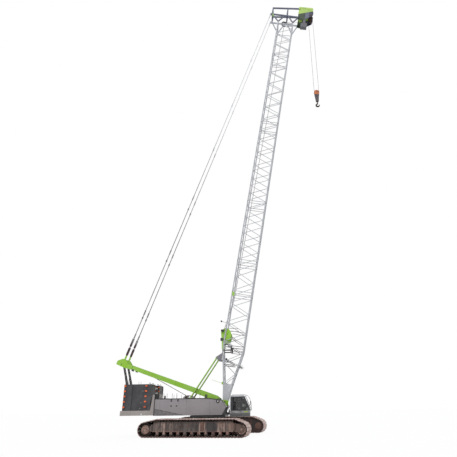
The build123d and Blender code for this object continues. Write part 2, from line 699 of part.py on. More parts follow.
def mast_lug(y):
    x, z = MAST_FOOT
    rear, front = CROSS_FRONT
    head = [(x + dx, z + dz) for dx, dz in MAST_LUG_SHAPE]
    return plate(((rear, CROSS_TOP - BITE), (front, CROSS_TOP - BITE), *head), y, y + MAST_LUG)


def main_frame():
    rear, front = CROSS_FRONT
    floor = DECK_BOTTOM + DECK_THICK
    inner = GIRDER_INNER + GIRDER_PLATE - BITE
    outer = GIRDER_OUTER - GIRDER_PLATE + BITE
    middle = GIRDER_INNER + BITE
    pieces = both(plate(girder_outline(), GIRDER_OUTER - GIRDER_PLATE, GIRDER_OUTER))
    pieces += both(plate(girder_outline(), GIRDER_INNER, GIRDER_INNER + GIRDER_PLATE))
    pieces += both(box(GIRDER_REAR, front, inner, outer, GIRDER_TOP - DECK_THICK, GIRDER_TOP))
    pieces += both(box(GIRDER_REAR, front, inner, outer, DECK_BOTTOM, floor))
    pieces.append(box(GIRDER_REAR, BOOM_FOOT[0] - DECK_FRONT, -middle, middle, DECK_BOTTOM, floor))
    pieces.append(box(GIRDER_REAR, GIRDER_REAR + REAR_PLATE, -middle, middle, DECK_BOTTOM, GIRDER_TOP))
    pieces.append(box(rear, front, -middle, middle, DECK_BOTTOM, CROSS_TOP))
    x, y = SLEW_DRIVE
    height = SLEW_DRIVE_TOP - floor + BITE
    pieces += both(Pos(x, y, SLEW_DRIVE_TOP - height / 2) * Cylinder(SLEW_DRIVE_RADIUS, height))
    half = MAST_LEG_WIDTH / 2 + MAST_LUG_GAP
    for y in (MAST_LEG_Y - half - MAST_LUG, MAST_LEG_Y + half):
        pieces += both(mast_lug(y))
    pieces += both(saddle((GIRDER_INNER + GIRDER_OUTER) / 2))
    frame = joined(pieces)
    frame -= disc(*BOOM_FOOT, FOOT_PIN + SEAT, -GIRDER_OUTER - PAST, GIRDER_OUTER + PAST)
    frame -= disc(*MAST_FOOT, MAST_PIN + SEAT, BITE - GIRDER_INNER, GIRDER_INNER - BITE)
    keep("main_frame", frame)


def side_housings():
    wall = SIDE_WALL
    outline = ((GIRDER_REAR, SIDE_BOTTOM), (SIDE_FRONT, SIDE_BOTTOM), SIDE_NOSE, SIDE_FRONT_TOP,
               (SIDE_SLOPE, SIDE_TOP), (GIRDER_REAR, SIDE_TOP))
    housing = hollow(outline, wall, GIRDER_OUTER, SIDE_OUTER)
    low = SIDE_BOTTOM - PAST
    rear = GIRDER_REAR - PAST
    wedge = ((rear, low), (RECESS_TIP, low), (rear, RECESS_TOP))
    housing -= plate(wedge, SIDE_OUTER - RECESS_DEPTH, SIDE_OUTER + PAST)
    keep("side_housing", mirror(housing, Plane.XZ))
    for x, z in LOUVRE_AT:
        for k in range(LOUVRE_COUNT):
            foot = z + k * LOUVRE_PITCH
            housing -= box(x, x + LOUVRE_LENGTH, SIDE_OUTER - LOUVRE_DEPTH, SIDE_OUTER + PAST,
                           foot, foot + LOUVRE_HEIGHT)
    keep("engine_house", housing)
    near, far = [GIRDER_OUTER + reach for reach in ENGINE_IN]
    keep("engine", box(*ENGINE, near, far, SIDE_BOTTOM + wall, SIDE_BOTTOM + ENGINE_RISE))


def drum(x, z, radius, half):
    """Core, two flanges and a round shaft that ends in the bearing plates."""
    end = half + STAND_GAP + STAND_THICK - SHAFT_SHORT
    core = half - DRUM_FLANGE
    pieces = [disc(x, z, DRUM_SHAFT, -end, end),
              flat_sided(x, z, radius * DRUM_CORE_SHARE, SHEAVE_SIDES, -core, core)]
    pieces += both(flat_sided(x, z, radius, SHEAVE_SIDES, half - DRUM_FLANGE, half))
    return joined(pieces)


def drum_stand(x, z, radius, half, floor):
    """A pair of bearing plates for a drum."""
    foot = radius * STAND_SPREAD
    neck, neck_rise = STAND_NECK
    head, head_rise = STAND_HEAD
    outline = ((x - foot, floor), (x + foot, floor), (x + neck, z + neck_rise), (x + head, z + head_rise),
               (x - head, z + head_rise), (x - neck, z + neck_rise))
    near = half + STAND_GAP
    stand = plate(outline, near, near + STAND_THICK)
    return both(stand - disc(x, z, DRUM_SHAFT + SEAT, near - PAST, near + STAND_THICK + PAST))


def winches():
    floor = DECK_BOTTOM + DECK_THICK
    keep("luff_drum", drum(*LUFF_DRUM))
    keep("hoist_drum", drum(*HOIST_DRUM))
    keep("boom_drum", on_boom(drum(*BOOM_DRUM)))
    keep("winch_stands", solids(drum_stand(*LUFF_DRUM, floor) + drum_stand(*HOIST_DRUM, floor)))


# Counterweight

def counterweight_slab(low):
    outer = SIDE_OUTER - STACK_EDGE
    high = low + SLAB_HEIGHT - SEAT
    slab = box(STACK_REAR, STACK_FRONT, STACK_INNER, outer, low, high)
    slab -= box(GROOVE_X - GROOVE_HALF, GROOVE_X + GROOVE_HALF, outer - GROOVE_DEPTH, outer + PAST,
                low - PAST, high + PAST)
    foot, top = LUG_RISE
    for x in LUG_X:
        slab += box(x - LUG_HALF, x + LUG_HALF, outer - BITE, SIDE_OUTER, low + foot, low + top)
    return slab


def counterweight():
    foot = TRAY_TOP - BITE
    front = GIRDER_REAR - BITE
    low_reach, high_reach = WING_REACH
    wing = ((STACK_FRONT + low_reach, foot), (front, foot),
            (front, WING_TOP), (STACK_FRONT + high_reach, WING_TOP))
    tray = box(TRAY_REAR, GIRDER_REAR, -SIDE_OUTER, SIDE_OUTER, TRAY_BOTTOM, TRAY_TOP)
    pieces = [tray] + both(plate(wing, SIDE_OUTER - WING_THICK, SIDE_OUTER))
    x, z = LUFF_BLOCK
    rear, fore = LUFF_CHEEK_FOOT
    head = LUFF_CHEEK_HEAD
    cheek = ((x + rear, foot), (x + fore, foot), (x + head, z + head), (x - head, z + head))
    for y in LUFF_CHEEKS:
        pieces += both(plate(cheek, y, y + LUFF_CHEEK_THICK))
    reach = LUFF_CHEEKS[1] + LUFF_CHEEK_THICK + PAST
    keep("counterweight_tray", joined(pieces) - disc(x, z, LUFF_BLOCK_PIN + SEAT, -reach, reach))
    stack = solids(counterweight_slab(TRAY_TOP + SEAT + k * SLAB_HEIGHT) for k in range(SLAB_COUNT))
    keep("counterweight_left", stack)
    keep("counterweight_right", mirror(stack, Plane.XZ))


# Boom

def lacing_between(a, b, levels, side):
    """Zigzag of square bars between two chords, whose places at a height are given by a and b."""
    bars = []
    for k in range(len(levels) - 1):
        low, high = (a, b) if k % 2 == 0 else (b, a)
        bars.append(bar(low(levels[k]), high(levels[k + 1]), LACING, side))
    return bars


def chord_places(half_depth):
    """The four chords' places at a height; half_depth gives the half depth there."""
    half_width = CHORD_SPACING / 2
    return {
        (side, face): (lambda z, side=side, face=face: (face * half_depth(z), side * half_width, z))
        for side in (-1, 1) for face in (-1, 1)
    }


def joint_span(joint, way):
    """Low and high ends of a lug: from inside its own chord to just short of the next one."""
    return sorted((joint + way * (JOINT_REACH + BITE), joint - way * (JOINT_REACH - SEAT)))


def tongue(x, y, joint, way):
    """The plate that enters the next piece's fork; way is the side of the joint that its chord is on."""
    half = TONGUE_THICK / 2
    return box(x - TONGUE_HALF, x + TONGUE_HALF, y - half, y + half, *joint_span(joint, way))


def fork(x, y, joint, way):
    """Two plates round the next piece's tongue."""
    inner = TONGUE_THICK / 2 + SEAT
    outer = inner + FORK_PLATE
    return [box(x - TONGUE_HALF, x + TONGUE_HALF, y0, y1, *joint_span(joint, way))
            for y0, y1 in ((y - outer, y - inner), (y + inner, y + outer))]


def section(start, top, half_depth, corners, open_bay=None):
    """Chords through the corners' heights, end frames and lacing; the rear face may have an open bay."""
    chords = chord_places(half_depth)
    pieces = []
    for place in chords.values():
        for low, high in zip(corners, corners[1:]):
            pieces.append(tube(place(low), place(high), CHORD_WIDTH))
    first = start + LACING_START
    last = top - LACING_START
    count = max(2, round((last - first) / PANEL))
    levels = [first + k * (last - first) / count for k in range(count + 1)]
    for side in (-1, 1):
        pieces += lacing_between(chords[(side, -1)], chords[(side, 1)], levels, (0, 1, 0))
    pieces += lacing_between(chords[(-1, 1)], chords[(1, 1)], levels, (1, 0, 0))
    runs = [levels]
    if open_bay:
        runs = [[z for z in levels if z <= open_bay[0]], [z for z in levels if z >= open_bay[1]]]
        for z in (runs[0][-1], runs[1][0]):
            pieces.append(bar(chords[(-1, -1)](z), chords[(1, -1)](z), LACING, (1, 0, 0)))
    for run in runs:
        pieces += lacing_between(chords[(-1, -1)], chords[(1, -1)], run, (1, 0, 0))
    for z in (first, last):
        for side in (-1, 1):
            pieces.append(bar(chords[(side, -1)](z), chords[(side, 1)](z), LACING, (0, 1, 0)))
            pieces.append(bar(chords[(-1, side)](z), chords[(1, side)](z), LACING, (1, 0, 0)))
    return pieces


def straight(z):
    return CHORD_SPACING / 2


def tapered(z):
    if z >= TAPER_TOP:
        return CHORD_SPACING / 2
    low = FOOT_PLATE_HALF - CHORD_WIDTH / 2
    return low + (z - FOOT_PLATE_TOP) / (TAPER_TOP - FOOT_PLATE_TOP) * (CHORD_SPACING / 2 - low)


def section_ends(bottom, top):
    """Tongues at the lower joint and forks at the upper one, on all four chords."""
    half = CHORD_SPACING / 2
    pieces = []
    for x in (-half, half):
        for y in (-half, half):
            if bottom:
                pieces.append(tongue(x, y, bottom, 1))
            pieces += fork(x, y, top, -1)
    return pieces


def foot(y):
    """The solid plate that carries the foot pin, with its round eye."""
    half = FOOT_THICK / 2
    outline = ((-FOOT_RADIUS, 0), (FOOT_RADIUS, 0), (FOOT_PLATE_HALF, FOOT_PLATE_TOP),
               (-FOOT_PLATE_HALF, FOOT_PLATE_TOP))
    return plate(outline, y - half, y + half) + disc(0, 0, FOOT_RADIUS, y - half, y + half)


def stop_bracket(y):
    """Twin plates on the rear chord for the backstop's pin, with the root that joins them."""
    x, z = STOP_UPPER
    rear_low, rear_high, front = [(x + dx, z + dz) for dx, dz in STOP_ARM]
    root_high, root_low = [(dx, z + dz) for dx, dz in STOP_ROOT]
    back_high, back_low = [(dx, z + dz) for dx, dz in STOP_BACK]
    arm = (rear_low, rear_high, root_high, root_low, front)
    gap = STOP_RADIUS + STOP_GAP
    outer = gap + STOP_PLATE
    return [plate(arm, y - outer, y - gap), plate(arm, y + gap, y + outer),
            plate((back_high, root_high, root_low, back_low), y - outer, y + outer)]


def rope_guide():
    """Roller on a cross bar, braced to the front chords."""
    x, z = GUIDE_ROLLER
    back, rise = GUIDE_ROOT
    front, top = GUIDE_BRACE_END
    half = CHORD_SPACING / 2
    pieces = [bar((x, -half, z), (x, half, z), LACING, (1, 0, 0)),
              flat_sided(x, z, GUIDE_RADIUS, ROLLER_SIDES, -GUIDE_HALF, GUIDE_HALF)]
    return pieces + both(bar((x + back, half, z + rise), (front, half, top), LACING))


def drum_hanger():
    """The plate on the rear chord that carries the boom winch's shaft."""
    x, z, _, half = BOOM_DRUM
    rear = -CHORD_SPACING / 2
    behind, ahead = HANGER_LAP
    edge, back, corner = HANGER_RISES
    head, head_half = HANGER_HEAD
    outline = ((rear - behind, z - back), (rear + ahead, z - corner), (rear + HANGER_IN, z - edge),
               (rear + HANGER_IN, z + edge), (rear + ahead, z + corner), (rear - behind, z + back),
               (x - head, z + head_half), (x - head, z - head_half))
    return plate(outline, half + STAND_GAP, half + STAND_GAP + STAND_THICK)


def butt():
    x, z, radius, half = BOOM_DRUM
    clear = radius + DRUM_CLEAR
    y = CHORD_SPACING / 2
    bottom = FOOT_PLATE_TOP - BUTT_LAP
    corners = (bottom, TAPER_TOP, BUTT_TOP - JOINT_REACH)
    pieces = section(bottom - BUTT_FRAME, BUTT_TOP, tapered, corners, (z - clear, z + clear))
    pieces += section_ends(None, BUTT_TOP) + both(foot(y)) + both(drum_hanger()) + rope_guide()
    for part in stop_bracket(y):
        pieces += both(part)
    forward, low, high = GUIDE_FRAME
    for level in (low, high):
        pieces += both(bar((-y, y, level), (forward, y, level), LACING))
    pieces += both(bar((forward, y, low), (forward, y, high), LACING))
    reach = half + STAND_GAP + STAND_THICK + PAST
    body = joined(pieces) - disc(x, z, DRUM_SHAFT + SEAT, -reach, reach)
    reach = y + STOP_RADIUS + STOP_GAP + STOP_PLATE + PAST
    body -= disc(*STOP_UPPER, STOP_PIN + SEAT, -reach, reach)
    body += both(disc(0, 0, FOOT_PIN, GIRDER_INNER - FOOT_PIN_IN, GIRDER_OUTER - BITE))
    keep("boom_butt", on_boom(body))


def inserts():
    bottom = BUTT_TOP
    for name, top in SECTIONS:
        ends = (bottom + JOINT_REACH, top - JOINT_REACH)
        keep(name, on_boom(joined(section(bottom, top, straight, ends) + section_ends(bottom, top))))
        bottom = top


# Boom head, in the boom's own frame

def head_slope(x):
    """Height of the upper beam at x."""
    return HEAD_TOP_REAR + (HEAD_TOP_FRONT - HEAD_TOP_REAR) * (x - HEAD_REAR) / (HEAD_FRONT - HEAD_REAR)


def head_side(y, base):
    """One side frame: two beams, two posts, the struts from the boom's chords and the sheave cheek."""
    half = HEAD_BEAM / 2
    pieces = [
        bar((HEAD_REAR, y, HEAD_TOP_REAR), (HEAD_FRONT, y, HEAD_TOP_FRONT), HEAD_BEAM),
        bar((HEAD_REAR, y, HEAD_LOW_REAR), (HEAD_FRONT - HEAD_END_IN, y, HEAD_LOW_FRONT), HEAD_BEAM),
        bar((HEAD_REAR, y, HEAD_LOW_REAR - HEAD_END_IN), (HEAD_REAR, y, HEAD_TOP_REAR + half), HEAD_BEAM),
        bar((HEAD_POST, y, HEAD_LOW_FRONT), (HEAD_POST, y, head_slope(HEAD_POST)), HEAD_BEAM),
    ]
    chord = CHORD_SPACING / 2
    for root, tips in zip((-chord, chord), HEAD_STRUT_TIPS):
        for tip in tips:
            pieces.append(bar((root, chord, base), (tip, y, HEAD_LOW_FRONT + half), HEAD_CROSS))
    shaft = LOAD_SHAFT[1]
    rear_rise, front_rise = CHEEK_RISE
    cheek = [(x, shaft + rise) for x, rise in CHEEK_LOW]
    cheek += [(CHEEK_FRONT, shaft + front_rise), (CHEEK_REAR, shaft + rear_rise)]
    pieces.append(plate(cheek, y - CHEEK_THICK / 2, y + CHEEK_THICK / 2))
    return pieces


def pendant_lugs():
    x, z = PENDANT_HEAD
    low, high = PENDANT_LUG_ROOT
    nose = PENDANT_LUG_NOSE
    outline = ((HEAD_REAR, z + low), (x, z - nose), (x - nose, z), (x, z + nose), (HEAD_REAR, z + high))
    lugs = []
    for y in PENDANT_LUGS:
        eye = disc(x, z, PENDANT_PIN + SEAT, y - PAST, y + PENDANT_LUG + PAST)
        lugs += both(plate(outline, y, y + PENDANT_LUG) - eye)
    return lugs


def head():
    base = BOOM_TOP + JOINT_REACH + HEAD_CROSS / 2
    w = HEAD_HALF_WIDTH
    half = CHORD_SPACING / 2
    front = HEAD_FRONT - HEAD_END_IN
    pieces = pendant_lugs()
    for part in head_side(w, base):
        pieces += both(part)
    for x in (HEAD_REAR, HEAD_POST, front):
        share = (x - HEAD_REAR) / (front - HEAD_REAR)
        low = HEAD_LOW_REAR + share * (HEAD_LOW_FRONT - HEAD_LOW_REAR)
        for z in (low, head_slope(x)):
            pieces.append(bar((x, -w, z), (x, w, z), HEAD_CROSS, (1, 0, 0)))
    for x in (-half, half):
        pieces.append(bar((x, -half, base), (x, half, base), HEAD_CROSS, (1, 0, 0)))
        pieces += [tongue(x, y, BOOM_TOP, 1) for y in (-half, half)]
    rear, fore = LIMIT_BOX
    foot, top = [BOOM_TOP + rise for rise in LIMIT_BOX_RISE]
    pieces.append(box(rear, fore, -LIMIT_BOX_HALF, LIMIT_BOX_HALF, foot, top))
    x = rear + LIMIT_BAR_IN
    pieces.append(bar((x, -w, top), (x, w, top), HEAD_CROSS, (1, 0, 0)))
    reach = w + CHEEK_THICK / 2 + PAST
    keep("boom_head", on_boom(joined(pieces) - disc(*LOAD_SHAFT, SHEAVE_SHAFT + SEAT, -reach, reach)))


def head_cover():
    """The folded cover on the cheeks' top edges."""
    rear, front = [LOAD_SHAFT[1] + rise + SEAT for rise in CHEEK_RISE]
    out, nose = COVER_NOSE
    cover = ((CHEEK_REAR, rear), (CHEEK_FRONT, front), (CHEEK_FRONT + out, front + nose),
             (CHEEK_FRONT - out, front + nose + COVER_RISE), (CHEEK_REAR, rear + COVER_RISE))
    reach = HEAD_HALF_WIDTH + COVER_OUT
    keep("head_cover", on_boom(plate(cover, -reach, reach)))


def sheave(x, z, y):
    """A rope sheave: two rims, and the floor between them that the rope lies on."""
    side = ROPE_RADIUS + SEAT
    wheel = flat_sided(x, z, ROPE_CIRCLE - ROPE_RADIUS - SEAT, SHEAVE_SIDES, y - side, y + side)
    for low, high in ((-SHEAVE_HALF, -side), (side, SHEAVE_HALF)):
        wheel += flat_sided(x, z, SHEAVE_RADIUS, SHEAVE_SIDES, y + low, y + high)
    return wheel


def head_sheaves():
    x, z = LOAD_SHAFT
    reach = HEAD_HALF_WIDTH + CHEEK_THICK / 2 + SHAFT_END
    wheels = [disc(x, z, SHEAVE_SHAFT, -reach, reach)]
    wheels += [sheave(x, z, y) for y in spread(SHEAVE_COUNT, SHEAVE_PITCH * (SHEAVE_COUNT - 1) / 2)]
    keep("head_sheaves", on_boom(joined(wheels)))


# Pendants, backstops and mast

def pendants():
    low = mast_point(MAST_LENGTH, MAST_PIN_UP)
    high = boom_point(*PENDANT_HEAD)
    y = MAST_LEG_Y
    a = Vector(low[0], y, low[1])
    b = Vector(high[0], y, high[1])
    way = (b - a).normalized()
    past = way * PENDANT_END_PAST
    foot, top = PENDANT_ENDS
    line = [bar(a, b, PENDANT_WIDTH), bar(a - past, a + way * foot, PENDANT_END),
            bar(b - way * top, b + past, PENDANT_END)]
    for share in PENDANT_JOINTS:
        middle = a + (b - a) * share
        line.append(bar(middle - way * PENDANT_LINK_HALF, middle + way * PENDANT_LINK_HALF, PENDANT_LINK))
    line.append(disc(*high, PENDANT_PIN, y - PENDANT_PIN_OUT, y + PENDANT_PIN_OUT))
    keep("pendants", solids(both(joined(line))))


def backstops():
    x, z = boom_point(*STOP_UPPER)
    y = CHORD_SPACING / 2
    strut = tube((STOP_LOWER[0], y, STOP_LOWER[1]), (x, y, z), STOP_RADIUS * 2)
    strut += flat_sided(x, z, STOP_RADIUS + STOP_EYE, 8, y - STOP_RADIUS, y + STOP_RADIUS)
    reach = STOP_RADIUS + STOP_GAP + STOP_PLATE - BITE
    strut += disc(x, z, STOP_PIN, y - reach, y + reach)
    keep("backstops", solids(both(strut)))


def mast_leg(inner, outer):
    deep = MAST_FOOT_DEPTH / 2
    thin = MAST_TIP_DEPTH / 2
    tip = MAST_CROSS_END - MAST_LENGTH
    outline = ((MAST_HEEL, -MAST_HEEL), (MAST_HEEL, MAST_HEEL), (-MAST_FULL, deep), (tip, thin), (tip, -thin),
               (-MAST_FULL, -deep))
    return plate(outline, inner, outer)


def mast_cheek(y):
    """The deep plate at the mast's head that holds the sheaves and the pendants' lower ends."""
    end = MAST_LENGTH
    low = [(dx - end, dz) for dx, dz in MAST_HEAD_LOW + MAST_HEAD_REAR]
    high = [(dx - end, MAST_PIN_UP + dz) for dx, dz in MAST_HEAD_HIGH]
    front = [(dx - end, dz) for dx, dz in MAST_HEAD_FRONT]
    return plate(low + high + front, y, y + MAST_CHEEK)


def mast_rest(inner, outer):
    """The stub that stands on the cross box when the mast is laid down."""
    top, foot, drop = MAST_REST
    deep = MAST_REST_IN - MAST_FOOT_DEPTH / 2
    x = -MAST_REST_AT
    outline = ((x - top, deep), (x + top, deep), (x + foot, deep - drop), (x - foot, deep - drop))
    return plate(outline, inner + MAST_REST_IN, outer - MAST_REST_IN)


def sheave_pack():
    """Sheaves side by side along Y: one floor, and a rim on each side of every rope of a bundle."""
    pitch = LUFF_ROPES[1] - LUFF_ROPES[0]
    side = LUFF_ROPE_RADIUS + LUFF_GROOVE_SIDE
    low = LUFF_ROPES[0] - pitch / 2
    high = LUFF_ROPES[-1] + pitch / 2
    edges = [low] + [edge for y in LUFF_ROPES for edge in (y - side, y + side)] + [high]
    pack = flat_sided(0, 0, MAST_SHEAVE_RADIUS - LUFF_ROPE_RADIUS, PACK_SIDES, low, high)
    for near, far in zip(edges[::2], edges[1::2]):
        pack += flat_sided(0, 0, MAST_SHEAVE_RADIUS, PACK_SIDES, near, far)
    return pack


def mast():
    inner = MAST_LEG_Y - MAST_LEG_WIDTH / 2
    outer = inner + MAST_LEG_WIDTH
    pieces = both(mast_leg(inner, outer)) + both(mast_rest(inner, outer))
    half, rise = MAST_CROSS_HALF
    crosses = [share * MAST_LENGTH for share in MAST_CROSSES]
    crosses += [MAST_CROSS_FOOT, MAST_LENGTH + MAST_CROSS_END]
    for along in crosses:
        pieces.append(box(-along - half, half - along, -inner - BITE, inner + BITE, -rise, rise))
    for y in (inner - MAST_CHEEK, outer):
        pieces += both(mast_cheek(y))
    sheave_x = -MAST_LENGTH - MAST_SHEAVE_PAST
    reach = outer + MAST_CHEEK + PAST
    body = joined(pieces) - disc(sheave_x, -MAST_SHEAVE_DROP, MAST_SHEAVE_PIN + SEAT, -reach, reach)
    reach = MAST_LUG_GAP + MAST_LUG + SHAFT_SHORT
    body += both(disc(0, 0, MAST_PIN, inner - reach, outer + reach))
    keep("mast", on_mast(body))
    pack = Pos(sheave_x, 0, -MAST_SHEAVE_DROP) * sheave_pack()
    lap = MAST_CHEEK - PAST
    pack += disc(sheave_x, -MAST_SHEAVE_DROP, MAST_SHEAVE_PIN, inner - lap, outer + lap)
    keep("mast_sheaves", on_mast(solids(both(pack))))


def luffing_ropes():
    x0, z0 = LUFF_BLOCK
    along = MAST_LENGTH + MAST_SHEAVE_PAST - MAST_SHEAVE_RADIUS - LUFF_ROPE_RADIUS - SEAT
    x1, z1 = mast_point(along, -MAST_SHEAVE_DROP)
    near, far = LUFF_CHEEKS
    low = near + LUFF_CHEEK_THICK + LUFF_BLOCK_GAP
    block = flat_sided(x0, z0, LUFF_BLOCK_RADIUS, LUFF_BLOCK_SIDES, low, far - LUFF_BLOCK_GAP)
    pin = disc(x0, z0, LUFF_BLOCK_PIN, near + SHAFT_SHORT, far + LUFF_CHEEK_THICK - SHAFT_SHORT)
    ropes = [tube((x0, y, z0), (x1, y, z1), LUFF_ROPE_RADIUS * 2, 6) for y in LUFF_ROPES]
    keep("luffing_ropes", solids(both(joined([pin, block] + ropes))))


# Hook block and hook

def hook_line():
    x, z = boom_point(*LOAD_SHAFT)
    low = HOOK_SHEAVE_Z
    falls = [tube((x + reach, 0, low), (x + reach, 0, z), ROPE_RADIUS * 2)
             for reach in (-ROPE_CIRCLE, ROPE_CIRCLE)]
    keep("hoist_ropes", solids(falls))
    reach = BLOCK_HALF - SHAFT_SHORT
    keep("hook_sheave", sheave(x, low, 0) + disc(x, low, HOOK_SHEAVE_PIN, -reach, reach))
    waist, drop = BLOCK_WAIST
    foot_half, foot_drop = BLOCK_FOOT
    lap = low - drop - BLOCK_LAP
    cheek = ((x - waist, lap), (x + waist, lap), (x + BLOCK_RADIUS, low), (x - BLOCK_RADIUS, low))
    core = ((x - waist, low - drop), (x + waist, low - drop), (x + foot_half, low - foot_drop),
            (x - foot_half, low - foot_drop))
    pieces = [plate(core, -BLOCK_HALF, BLOCK_HALF)]
    for y in (-BLOCK_HALF, BLOCK_HALF - BLOCK_PLATE):
        pieces += [plate(cheek, y, y + BLOCK_PLATE), disc(x, low, BLOCK_RADIUS, y, y + BLOCK_PLATE)]
    reach = BLOCK_HALF + PAST
    keep("hook_block", joined(pieces) - disc(x, low, HOOK_SHEAVE_PIN + SEAT, -reach, reach))


def hook():
    """A forged hook: a thick open ring under its shank, with the mouth to the front."""
    x = boom_point(*LOAD_SHAFT)[0]
    top = HOOK_SHEAVE_Z - BLOCK_FOOT[1] - SEAT
    middle = top - HOOK_DROP
    half = HOOK_THICK / 2
    cut = half + PAST
    eye_x, eye_z = HOOK_EYE
    ring = disc(x, middle, HOOK_OUTER, -half, half) - disc(x + eye_x, middle + eye_z, HOOK_THROAT, -cut, cut)
    body = ring - plate([(x + dx, middle + dz) for dx, dz in HOOK_MOUTH], -cut, cut)
    body = body.chamfer(HOOK_CHAMFER, None, [edge for edge in body.edges() if edge.length > HOOK_OUTER])
    foot = middle + HOOK_THROAT + HOOK_NECK
    keep("hook", body + Pos(x, 0, (top + foot) / 2) * Cylinder(HOOK_SHANK, top - foot))


# Cab

def on_slope(share, out):
    """A point on the windscreen's line, moved out of the cab."""
    nose_x, nose_z = CAB_NOSE
    brow_x, brow_z = CAB_BROW
    length = hypot(nose_x - brow_x, brow_z - nose_z)
    return (nose_x + share * (brow_x - nose_x) + out * (brow_z - nose_z) / length,
            nose_z + share * (brow_z - nose_z) + out * (nose_x - brow_x) / length)


def slope_piece(low, high, out, thick, y0, y1):
    """A flat piece along the windscreen's line."""
    corners = (on_slope(low, out), on_slope(high, out),
               on_slope(high, out + thick), on_slope(low, out + thick))
    return plate(corners, y0, y1)


def rectangle(x0, x1, z0, z1):
    return ((x0, z0), (x1, z0), (x1, z1), (x0, z1))


def side_pane_outline():
    """The side window's glass, which laps over its opening."""
    low_rear, low_front, high_front, high_rear = SIDE_WINDOW
    lap = PANE_LAP
    return ((low_rear[0] - lap, low_rear[1] - lap), (low_front[0] + lap, low_front[1] - lap),
            (high_front[0] + lap, high_front[1] + lap), (high_rear[0] - lap, high_rear[1] + lap))


def far_window(lap):
    """The window opposite the door, larger by lap on each side."""
    _, x1, z0, z1 = DOOR
    short, sill, head = FAR_WINDOW
    return rectangle(DOOR[0] - lap, x1 - short + lap, z0 + sill - lap, z1 - head + lap)


def hinge_leaves():
    """The knuckles on the cab's side, above and below each of the door's."""
    x = DOOR[0]
    rear, front = HINGE_LEAF
    leaves = []
    for z in HINGE_HEIGHTS:
        for way in (-1, 1):
            ends = sorted((z + way * (HINGE_HALF + SEAT), z + way * (HINGE_HALF + HINGE_EAR)))
            leaves.append(box(x - rear, x - front, CAB_NEAR - 2 * HINGE_OUT, CAB_NEAR + BITE, *ends))
    return leaves


def bar_guard():
    """Two side bars on feet and two rungs, in front of the windscreen."""
    near_in, far_in = GUARD_SIDES
    low, high = GUARD_ENDS
    pieces = []
    for y in (CAB_NEAR + near_in, CAB_FAR - far_in):
        pieces.append(slope_piece(low, high, GUARD_OUT, GUARD_BAR, y, y + GUARD_BAR))
        for share in GUARD_FEET:
            ends = (share - GUARD_FOOT_HALF, share + GUARD_FOOT_HALF)
            pieces.append(slope_piece(*ends, -BITE, GUARD_OUT + PAST, y, y + GUARD_BAR))
    for share in GUARD_RUNGS:
        ends = (share - GUARD_RUNG_HALF, share + GUARD_RUNG_HALF)
        pieces.append(slope_piece(*ends, GUARD_OUT + BITE, GUARD_RUNG,
                                  CAB_NEAR + near_in + BITE, CAB_FAR - near_in - BITE))
    return pieces


def cab_shell():
    near, far, wall = CAB_NEAR, CAB_FAR, CAB_WALL
    cut = CAB_TOP_CUT
    outline = ((CAB_REAR, CAB_FLOOR), (CAB_FOOT, CAB_FLOOR), CAB_NOSE, CAB_BROW, (CAB_ROOF_FRONT, CAB_ROOF),
               (CAB_REAR + cut, CAB_ROOF), (CAB_REAR, CAB_ROOF - cut))
    shell = hollow(outline, wall, near, far)
    shell -= plate(rectangle(*DOOR), near - PAST, near + wall + PAST)
    shell -= plate(SIDE_WINDOW, near - PAST, near + wall + PAST)
    shell -= plate(SIDE_WINDOW, far - wall - PAST, far + PAST)
    shell -= plate(far_window(0), far - wall - PAST, far + PAST)
    shell -= slope_piece(*WINDSCREEN, -wall - 2 * PAST, 3 * wall, near + WINDSCREEN_IN, far - WINDSCREEN_IN)
    low, high, side = REAR_WINDOW
    shell -= box(CAB_REAR - PAST, CAB_REAR + wall + PAST, near + side, far - side, low, high)
    feet = []
    along, across_cab = CAB_FOOT_SIZE
    for x in CAB_FEET:
        y = near + CAB_FOOT_IN
        feet.append(box(x - along / 2, x + along / 2, y, y + across_cab,
                        CAB_FLOOR - CAB_FOOT_DROP, CAB_FLOOR + BITE))
    keep("cab_shell", joined([shell] + feet + hinge_leaves() + bar_guard()))


def cab_door():
    x0, x1, z0, z1 = DOOR
    near = CAB_NEAR
    wall = CAB_WALL
    leaf = rectangle(x0 + DOOR_GAP, x1 - DOOR_GAP, z0 + DOOR_GAP, z1 - DOOR_GAP)
    light = rectangle(x0 + DOOR_FRAME, x1 - DOOR_FRAME, DOOR_SILL, z1 - DOOR_FRAME)
    door = plate(leaf, near, near + wall) - plate(light, near - PAST, near + wall + PAST)
    hinge_x = x0 - HINGE_OUT
    hinge_y = near - HINGE_OUT
    thick = HINGE_STRAP_HALF
    end = x0 + DOOR_GAP + HINGE_STRAP
    for z in HINGE_HEIGHTS:
        low = z - HINGE_HALF
        high = z + HINGE_HALF
        door += Pos(hinge_x, hinge_y, z) * Cylinder(HINGE_RADIUS, 2 * HINGE_HALF)
        door += box(hinge_x, end, hinge_y - thick, hinge_y + thick, low, high)
        door += box(x0 + 2 * DOOR_GAP, end, hinge_y - thick, near + BITE, low, high)
    keep("cab_door", door)


def cab_glass():
    near = CAB_NEAR + CAB_WALL + SEAT
    far = CAB_FAR - CAB_WALL - SEAT
    rear = CAB_REAR + CAB_WALL + SEAT
    lap = PANE_LAP
    low, high = WINDSCREEN
    rear_low, rear_high, side = REAR_WINDOW
    behind = -CAB_WALL - SEAT - PANE
    glass = [plate(side_pane_outline(), near, near + PANE), plate(side_pane_outline(), far - PANE, far),
             plate(far_window(lap), far - PANE, far),
             slope_piece(low - WINDSCREEN_LAP, high + WINDSCREEN_LAP / 3, behind, PANE,
                         CAB_NEAR + WINDSCREEN_IN - lap, CAB_FAR - WINDSCREEN_IN + lap),
             box(rear, rear + PANE, CAB_NEAR + side - lap, CAB_FAR - side + lap,
                 rear_low - lap, rear_high + lap)]
    keep("cab_glass", solids(glass))


